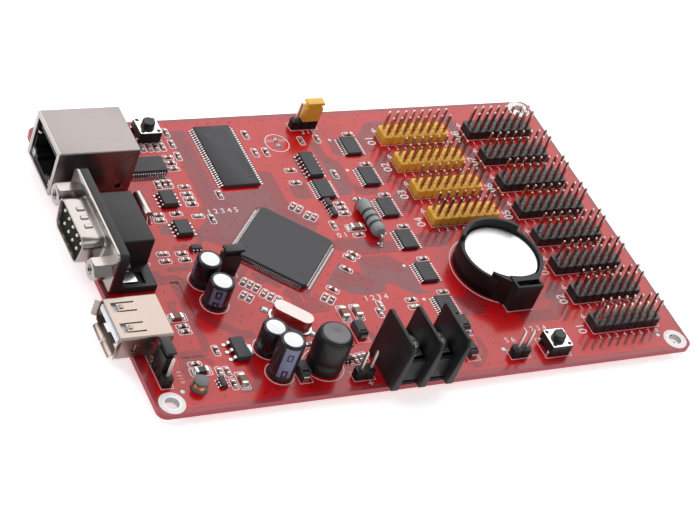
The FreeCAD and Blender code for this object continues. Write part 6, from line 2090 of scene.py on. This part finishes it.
@dataclass
class TerminalBlock:
    """A two-pole barrier block with clamp plates that ride on their screws."""

    pitch: float = 7.62
    wall_base: float = 2.0
    wall_top: float = 0.9
    foot: float = BOARD_TOP
    pole: float = 8.6
    pole_set: float = 5.0
    shelf: float = 6.8
    shelf_set: float = 2.4
    ridge: float = 9.2
    ridge_depth: float = 1.0
    well: tuple[float, float] = (4.2, 5.6)
    plate: tuple[float, float] = (4.8, 0.6)
    shank: float = 1.5
    play: float = 0.08
    head: float = 2.6
    head_height: float = 2.2
    threads: int = 9

    def __post_init__(self) -> None:
        """Read the block's box and the screws' places from the CAD model."""
        self.low, self.high = cad("terminal_body")
        self.middle = (self.low.x + self.high.x) / 2
        first, second = cad("terminal_screw_1")
        self.screw_y = (first.y + second.y) / 2
        self.poles = [self.middle - self.pitch / 2, self.middle + self.pitch / 2]

    def body(self) -> None:
        """The moulded base with its wells and front ridge, and three tapered walls."""
        low, high = self.low, self.high
        front, pole = low.y + self.shelf_set, low.y + self.pole_set
        back = high.y - 0.05
        outline = [(front, self.foot + 0.02), (front, 2.25), (front + 0.5, 2.3), (front + 0.5, 2.85),
                   (front, 2.9), (front, self.ridge - 0.2), (front + 0.2, self.ridge),
                   (front + self.ridge_depth, self.ridge), (front + self.ridge_depth, self.shelf),
                   (pole, self.shelf), (pole, self.pole), (back, self.pole), (back, self.foot + 0.02)]
        base = BENCH.facing(outline, self.middle - self.pitch, self.middle + self.pitch, (), 0.06)
        wells = [BENCH.block((x - self.well[0] / 2, self.screw_y - self.well[1] / 2, 0),
                             (x + self.well[0] / 2, self.screw_y + self.well[1] / 2, 20)) for x in self.poles]
        parts = [BENCH.cut(base, *wells)]
        parts += [self.wall(self.middle + index * self.pitch) for index in (-1, 0, 1)]
        BENCH.finish(parts, "terminal_body_moulding", BLACK, replaces=["terminal_body"], angle=24)

    def wall(self, x: float) -> Thing:
        """One barrier: round at its top corners, leaning at its front and thinner towards the top."""
        low, high = self.low, self.high
        outline = [(low.y + 0.7, self.foot), (low.y + 0.02, high.z - 2.2), (low.y + 0.1, high.z - 1.7),
                   (low.y + 0.9, high.z - 0.3), (low.y + 1.5, high.z), (high.y - 0.8, high.z),
                   (high.y - 0.2, high.z - 0.2), (high.y, high.z - 0.7), (high.y, self.foot)]
        half = self.wall_base / 2
        wall = BENCH.facing(outline, x - half, x + half)
        for vertex in wall.data.vertices:
            rise = (vertex.co.z - self.foot) / (high.z - self.foot)
            vertex.co.x = x + (vertex.co.x - x) * (1 - rise * (1 - self.wall_top / self.wall_base))
        return BENCH.soften(wall, 0.14, 2, 40.0)

    def plates(self) -> None:
        """Contact plates with turned-down lips and posts through the board."""
        _, high = cad("terminal_plates")
        parts = []
        front = self.low.y + self.pole_set
        for x in self.poles:
            strip = [(high.y, high.z - self.plate[1]), (high.y, high.z), (front - 0.25, high.z),
                     (front - self.plate[1], high.z - 0.35), (front - self.plate[1], high.z - 1.2),
                     (front, high.z - 1.2), (front, high.z - self.plate[1])]
            plate = BENCH.facing(strip, x - self.plate[0] / 2, x + self.plate[0] / 2, (), 0.08)
            parts.append(BENCH.cut(plate, BENCH.drum((x, self.screw_y, 0), self.shank + self.play, 30)))
            y = self.screw_y + self.well[1] / 2 - 0.4
            post = prong(x, 0.6, 0.35, self.pole + 0.2)
            parts.append(BENCH.side(post, y - 0.4, y + 0.4, 0.06, 1))
        BENCH.finish(parts, "terminal_contact_plates", CLIP_STEEL, replaces=["terminal_plates"])

    def clamp(self, index: int) -> None:
        """A square clamp plate with a hole for its screw and a ribbed grip."""
        node = f"terminal_clamp_{index}"
        low, high = cad(node)
        x, y = middle(low, high)
        plate = BENCH.block(low, high, 0.1)
        tools = [BENCH.drum((x, y, 0), self.shank + self.play, 30)]
        for offset in (-1.8, -1.2, 1.2, 1.8):
            tools.append(BENCH.block((low.x - 1, y + offset - 0.12, high.z - 0.1),
                                     (high.x + 1, y + offset + 0.12, high.z + 1)))
        BENCH.finish(BENCH.cut(plate, *tools), f"{node}_plate", CLIP_STEEL, body=node, replaces=[node])

    def screw(self, index: int) -> None:
        """A domed head with a crossed recess on a threaded shank."""
        node = f"terminal_screw_{index}"
        low, high = cad(node)
        x, y = middle(low, high)
        seat = high.z - self.head_height
        profile = [(0.0, high.z), (1.2, high.z - 0.04), (2.0, high.z - 0.28), (2.45, high.z - 0.8),
                   (self.head, high.z - 1.4), (self.head, seat + 0.15), (self.head - 0.12, seat),
                   (self.shank - 0.12, seat)]
        drop = (seat - low.z - 0.5) / self.threads
        for step in range(self.threads):
            profile += [(self.shank - 0.2, seat - drop * (step + 0.15)), (self.shank, seat - drop * (step + 0.6))]
        profile += [(self.shank - 0.2, low.z + 0.35), (self.shank - 0.5, low.z), (0.0, low.z)]
        screw = BENCH.turned(profile, (x, y, 0), 40)
        slot = BENCH.block((x - 2.9, y - 0.4, high.z - 1.0), (x + 2.9, y + 0.4, high.z + 1))
        cross = BENCH.block((x - 0.35, y - 1.5, high.z - 0.9), (x + 0.35, y + 1.5, high.z + 1))
        screw = BENCH.cut(screw, slot, cross)
        BENCH.finish(screw, f"{node}_shape", SCREW_STEEL, body=node, replaces=[node], angle=30)

    def build(self) -> None:
        """Make the whole terminal."""
        self.body()
        self.plates()
        for index in (1, 2):
            self.clamp(index)
            self.screw(index)


# ---------------------------------------------------------------- coin cell


@dataclass
class CellHolder:
    """A round holder with a raised back rim and a front box, the cell and its contacts."""

    outer: float = 11.2
    inner: float = 10.3
    floor: float = 2.2
    cup: float = 8.0
    front_height: float = 9.8
    rim: float = 9.6
    rim_start: float = 40.0
    rim_sweep: float = 110.0
    front_left: float = 7.2
    front_right: float = 4.2
    front_reach: float = 11.9
    front_root: float = 5.0
    chamfer: float = 3.6
    box_left: float = 3.5
    box_reach: float = 14.2
    box_wall: float = 0.6

    def holder(self) -> None:
        """The cup, its back rim, the front wall and the box with its open window."""
        low, high = cad("cell_holder")
        x, y = (low.x + high.x) / 2, high.y - self.outer
        foot = low.z
        floor = BENCH.slab(ring(0, 0, self.outer, 72), foot, foot + self.floor, edge=0.1)
        wall = BENCH.slab(ring(0, 0, self.outer, 72), foot, self.cup, [ring(0, 0, self.inner, 72)], 0.12)
        rim = BENCH.slab(arc_band(self.inner, self.outer, self.rim_start, self.rim_sweep, 32), self.cup - 0.5,
                         self.rim, edge=0.16)
        outline = [(-self.front_left, -self.front_root), (-self.front_left, self.chamfer - self.front_reach),
                   (self.chamfer - self.front_left, -self.front_reach), (-self.box_left, -self.front_reach),
                   (-self.box_left, -self.box_reach), (self.front_right, -self.box_reach),
                   (self.front_right, -self.front_root)]
        front = BENCH.slab(outline, foot, self.front_height, edge=0.18)
        well = BENCH.drum((0, 0, foot + self.floor), self.inner, 20, sides=72)
        core = (self.front_right - self.box_left) / 2
        half = (self.front_right + self.box_left) / 2 - self.box_wall
        window = BENCH.block((core - half, self.box_wall - self.box_reach, foot + self.floor),
                             (core + half, -self.front_reach, 20), 0.05, 1)
        step = BENCH.block((-self.front_left - 1, -self.front_reach - 1, self.front_height - 0.35),
                           (-self.box_left - 0.05, 0, 20))
        front = BENCH.cut(front, well, window, step)
        holder = BENCH.move(BENCH.join([floor, wall, rim, front]), at(x, y))
        BENCH.finish(holder, "cell_holder_moulding", BLACK, replaces=["cell_holder"], angle=40)

    def cell(self) -> None:
        """The cell: a bright can crimped over a seal, with a recessed lower cap."""
        low, high = cad("coin_cell")
        radius, thick = (high.x - low.x) / 2, high.z - low.z
        profile = [(0.0, thick), (radius - 0.75, thick), (radius - 0.25, thick - 0.12), (radius, thick - 0.45),
                   (radius, 0.55), (radius - 0.18, 0.3), (radius - 0.7, 0.22), (radius - 0.75, 0.32),
                   (radius - 1.15, 0.32), (radius - 1.25, 0.05), (radius - 1.6, 0.0), (0.0, 0.0)]
        cell = BENCH.turned(profile, (*middle(low, high), low.z), 72)
        BENCH.finish(cell, "coin_cell_can", CELL_STEEL, body="coin_cell", replaces=["coin_cell"])

    def contacts(self) -> None:
        """The blade under the cell and the sprung blade in the front box."""
        low, high = cad("cell_contacts")
        x, y = (low.x + high.x) / 2, cad("cell_holder")[1].y - self.outer
        under = BENCH.slab([(x - 7.8, y - 1.5), (x + 5.8, y - 1.5), (x + 7.8, y - 0.6), (x + 7.8, y + 0.6),
                            (x + 5.8, y + 1.5), (x - 7.8, y + 1.5)], low.z, low.z + 0.25, edge=0.05)
        core = x + (self.front_right - self.box_left) / 2
        blade = [(low.y, low.z), (low.y + 0.25, low.z), (low.y + 0.25, high.z - 0.3), (low.y + 0.1, high.z),
                 (low.y, high.z - 0.1)]
        side = BENCH.facing(blade, core - 1.5, core + 1.5, (), 0.04, 1)
        BENCH.finish([under, side], "cell_contact_blades", CLIP_STEEL, replaces=["cell_contacts"])

    def build(self) -> None:
        """Make the holder, the cell and the contacts."""
        self.holder()
        self.cell()
        self.contacts()


# ---------------------------------------------------------------- push buttons


@dataclass
class PushButtons:
    """Two square push buttons with riveted steel plates and bent legs."""

    side: float = 6.0
    case: float = 4.9
    plate: float = 5.15
    well: float = 4.8
    hole: float = 1.78
    rivet: float = 0.56
    rivet_set: float = 2.2
    leg_x: float = 3.25
    leg_y: float = 2.25
    stem: float = 1.7

    def build(self) -> None:
        """Make both buttons."""
        cases, legs, plates, rivets = [], [], [], []
        for where in ("back", "front"):
            node = f"{where}_button_plunger"
            low, high = cad(node)
            x, y = middle(low, high)
            half = self.side / 2
            case = BENCH.block((x - half, y - half, 1.75), (x + half, y + half, self.case), 0.18)
            reach = self.well / 2
            core = BENCH.block((x - reach, y - reach, 2.6), (x + reach, y + reach, 9))
            notches = [BENCH.block((x + sx * half - 0.35, y - 1.0, 0), (x + sx * half + 0.35, y + 1.0, 2.6))
                       for sx in (1, -1)]
            cases.append(BENCH.cut(case, core, *notches))
            cases += [BENCH.drum((x + sx * self.rivet_set, y + sy * self.rivet_set, BOARD_TOP), 0.5, 0.3, sides=12)
                      for sx, sy in CORNERS]
            for sx, sy in CORNERS:
                outer, inner = x + sx * (self.leg_x + 0.15), x + sx * (self.leg_x - 0.15)
                root = x + sx * (half - 0.1)
                path = [(root, 2.8), (outer - sx * 0.1, 2.8), (outer, 2.65), (outer, -1.1),
                        (outer - sx * 0.1, -1.5), (inner, -1.5), (inner, 2.5), (root, 2.5)]
                legs.append(BENCH.side(path, y + sy * self.leg_y - 0.35, y + sy * self.leg_y + 0.35, 0.05, 1))
            outline = frame_of(x, y, self.side - 0.1, self.side - 0.1, corner=0.35)
            hole = [ring(x, y, self.hole, 40)]
            plates.append(BENCH.slab(outline, self.case - 0.02, self.plate - 0.08, hole, 0.05))
            rivet = [(0.0, self.case - 0.1), (self.rivet, self.case - 0.1), (self.rivet, self.plate - 0.06),
                     (self.rivet - 0.12, self.plate), (0.0, self.plate)]
            rivets += [BENCH.turned(rivet, (x + sx * self.rivet_set, y + sy * self.rivet_set, 0), 16)
                       for sx, sy in CORNERS]
            self.plunger(node, x, y, low, high)
        BENCH.finish(cases, "button_case_mouldings", BLACK, replaces=["button_cases"])
        BENCH.finish(legs, "button_legs", TIN, replaces=["button_cases"])
        BENCH.finish(plates, "button_steel_plates", CLIP_STEEL, replaces=["button_plates"])
        BENCH.finish(rivets, "button_rivets", BLACK_GLOSS)
        self.domes()

    def plunger(self, node: str, x: float, y: float, low: Vector, high: Vector) -> None:
        """A round stem with a chamfered face on a square flange."""
        radius = self.stem
        stem = BENCH.turned([(0.0, high.z), (radius - 0.3, high.z), (radius - 0.04, high.z - 0.22),
                             (radius, high.z - 0.4), (radius, low.z + 0.5), (0.0, low.z + 0.5)], (x, y, 0), 40)
        half = (high.x - low.x) / 2
        flange = BENCH.block((x - half, y - half, low.z), (x + half, y + half, self.case - 0.02), 0.12)
        BENCH.finish([stem, flange], f"{node}_stem", BLACK_GLOSS, body=node, replaces=[node])

    def domes(self) -> None:
        """The snap domes under the plungers."""
        profile = [(0.0, 0.1), (1.0, 0.09), (1.7, 0.05), (2.0, 0.0), (1.9, 0.0), (1.0, 0.03), (0.0, 0.04)]
        domes = [BENCH.turned(profile, (site.x, site.y, site.z), 24) for site in sites("button_domes")]
        BENCH.finish(domes, "button_snap_domes", CLIP_STEEL, replaces=["button_domes"])


def main() -> None:
    """Build and dress every group of pieces."""
    logging.basicConfig(level=logging.INFO, format="%(name)s %(message)s")
    for group in (Stage(), Board(), Artwork(), PinHeaders(), JumperCaps(), LeadedChips(), Cans(), RoundParts(),
                  FlatParts(), NetworkJack(), SerialConnector(), UsbSocket(), TerminalBlock(), CellHolder(),
                  PushButtons()):
        group.build()
        LOG.info("%s done", type(group).__name__)


if __name__ == "__main__":
    main()
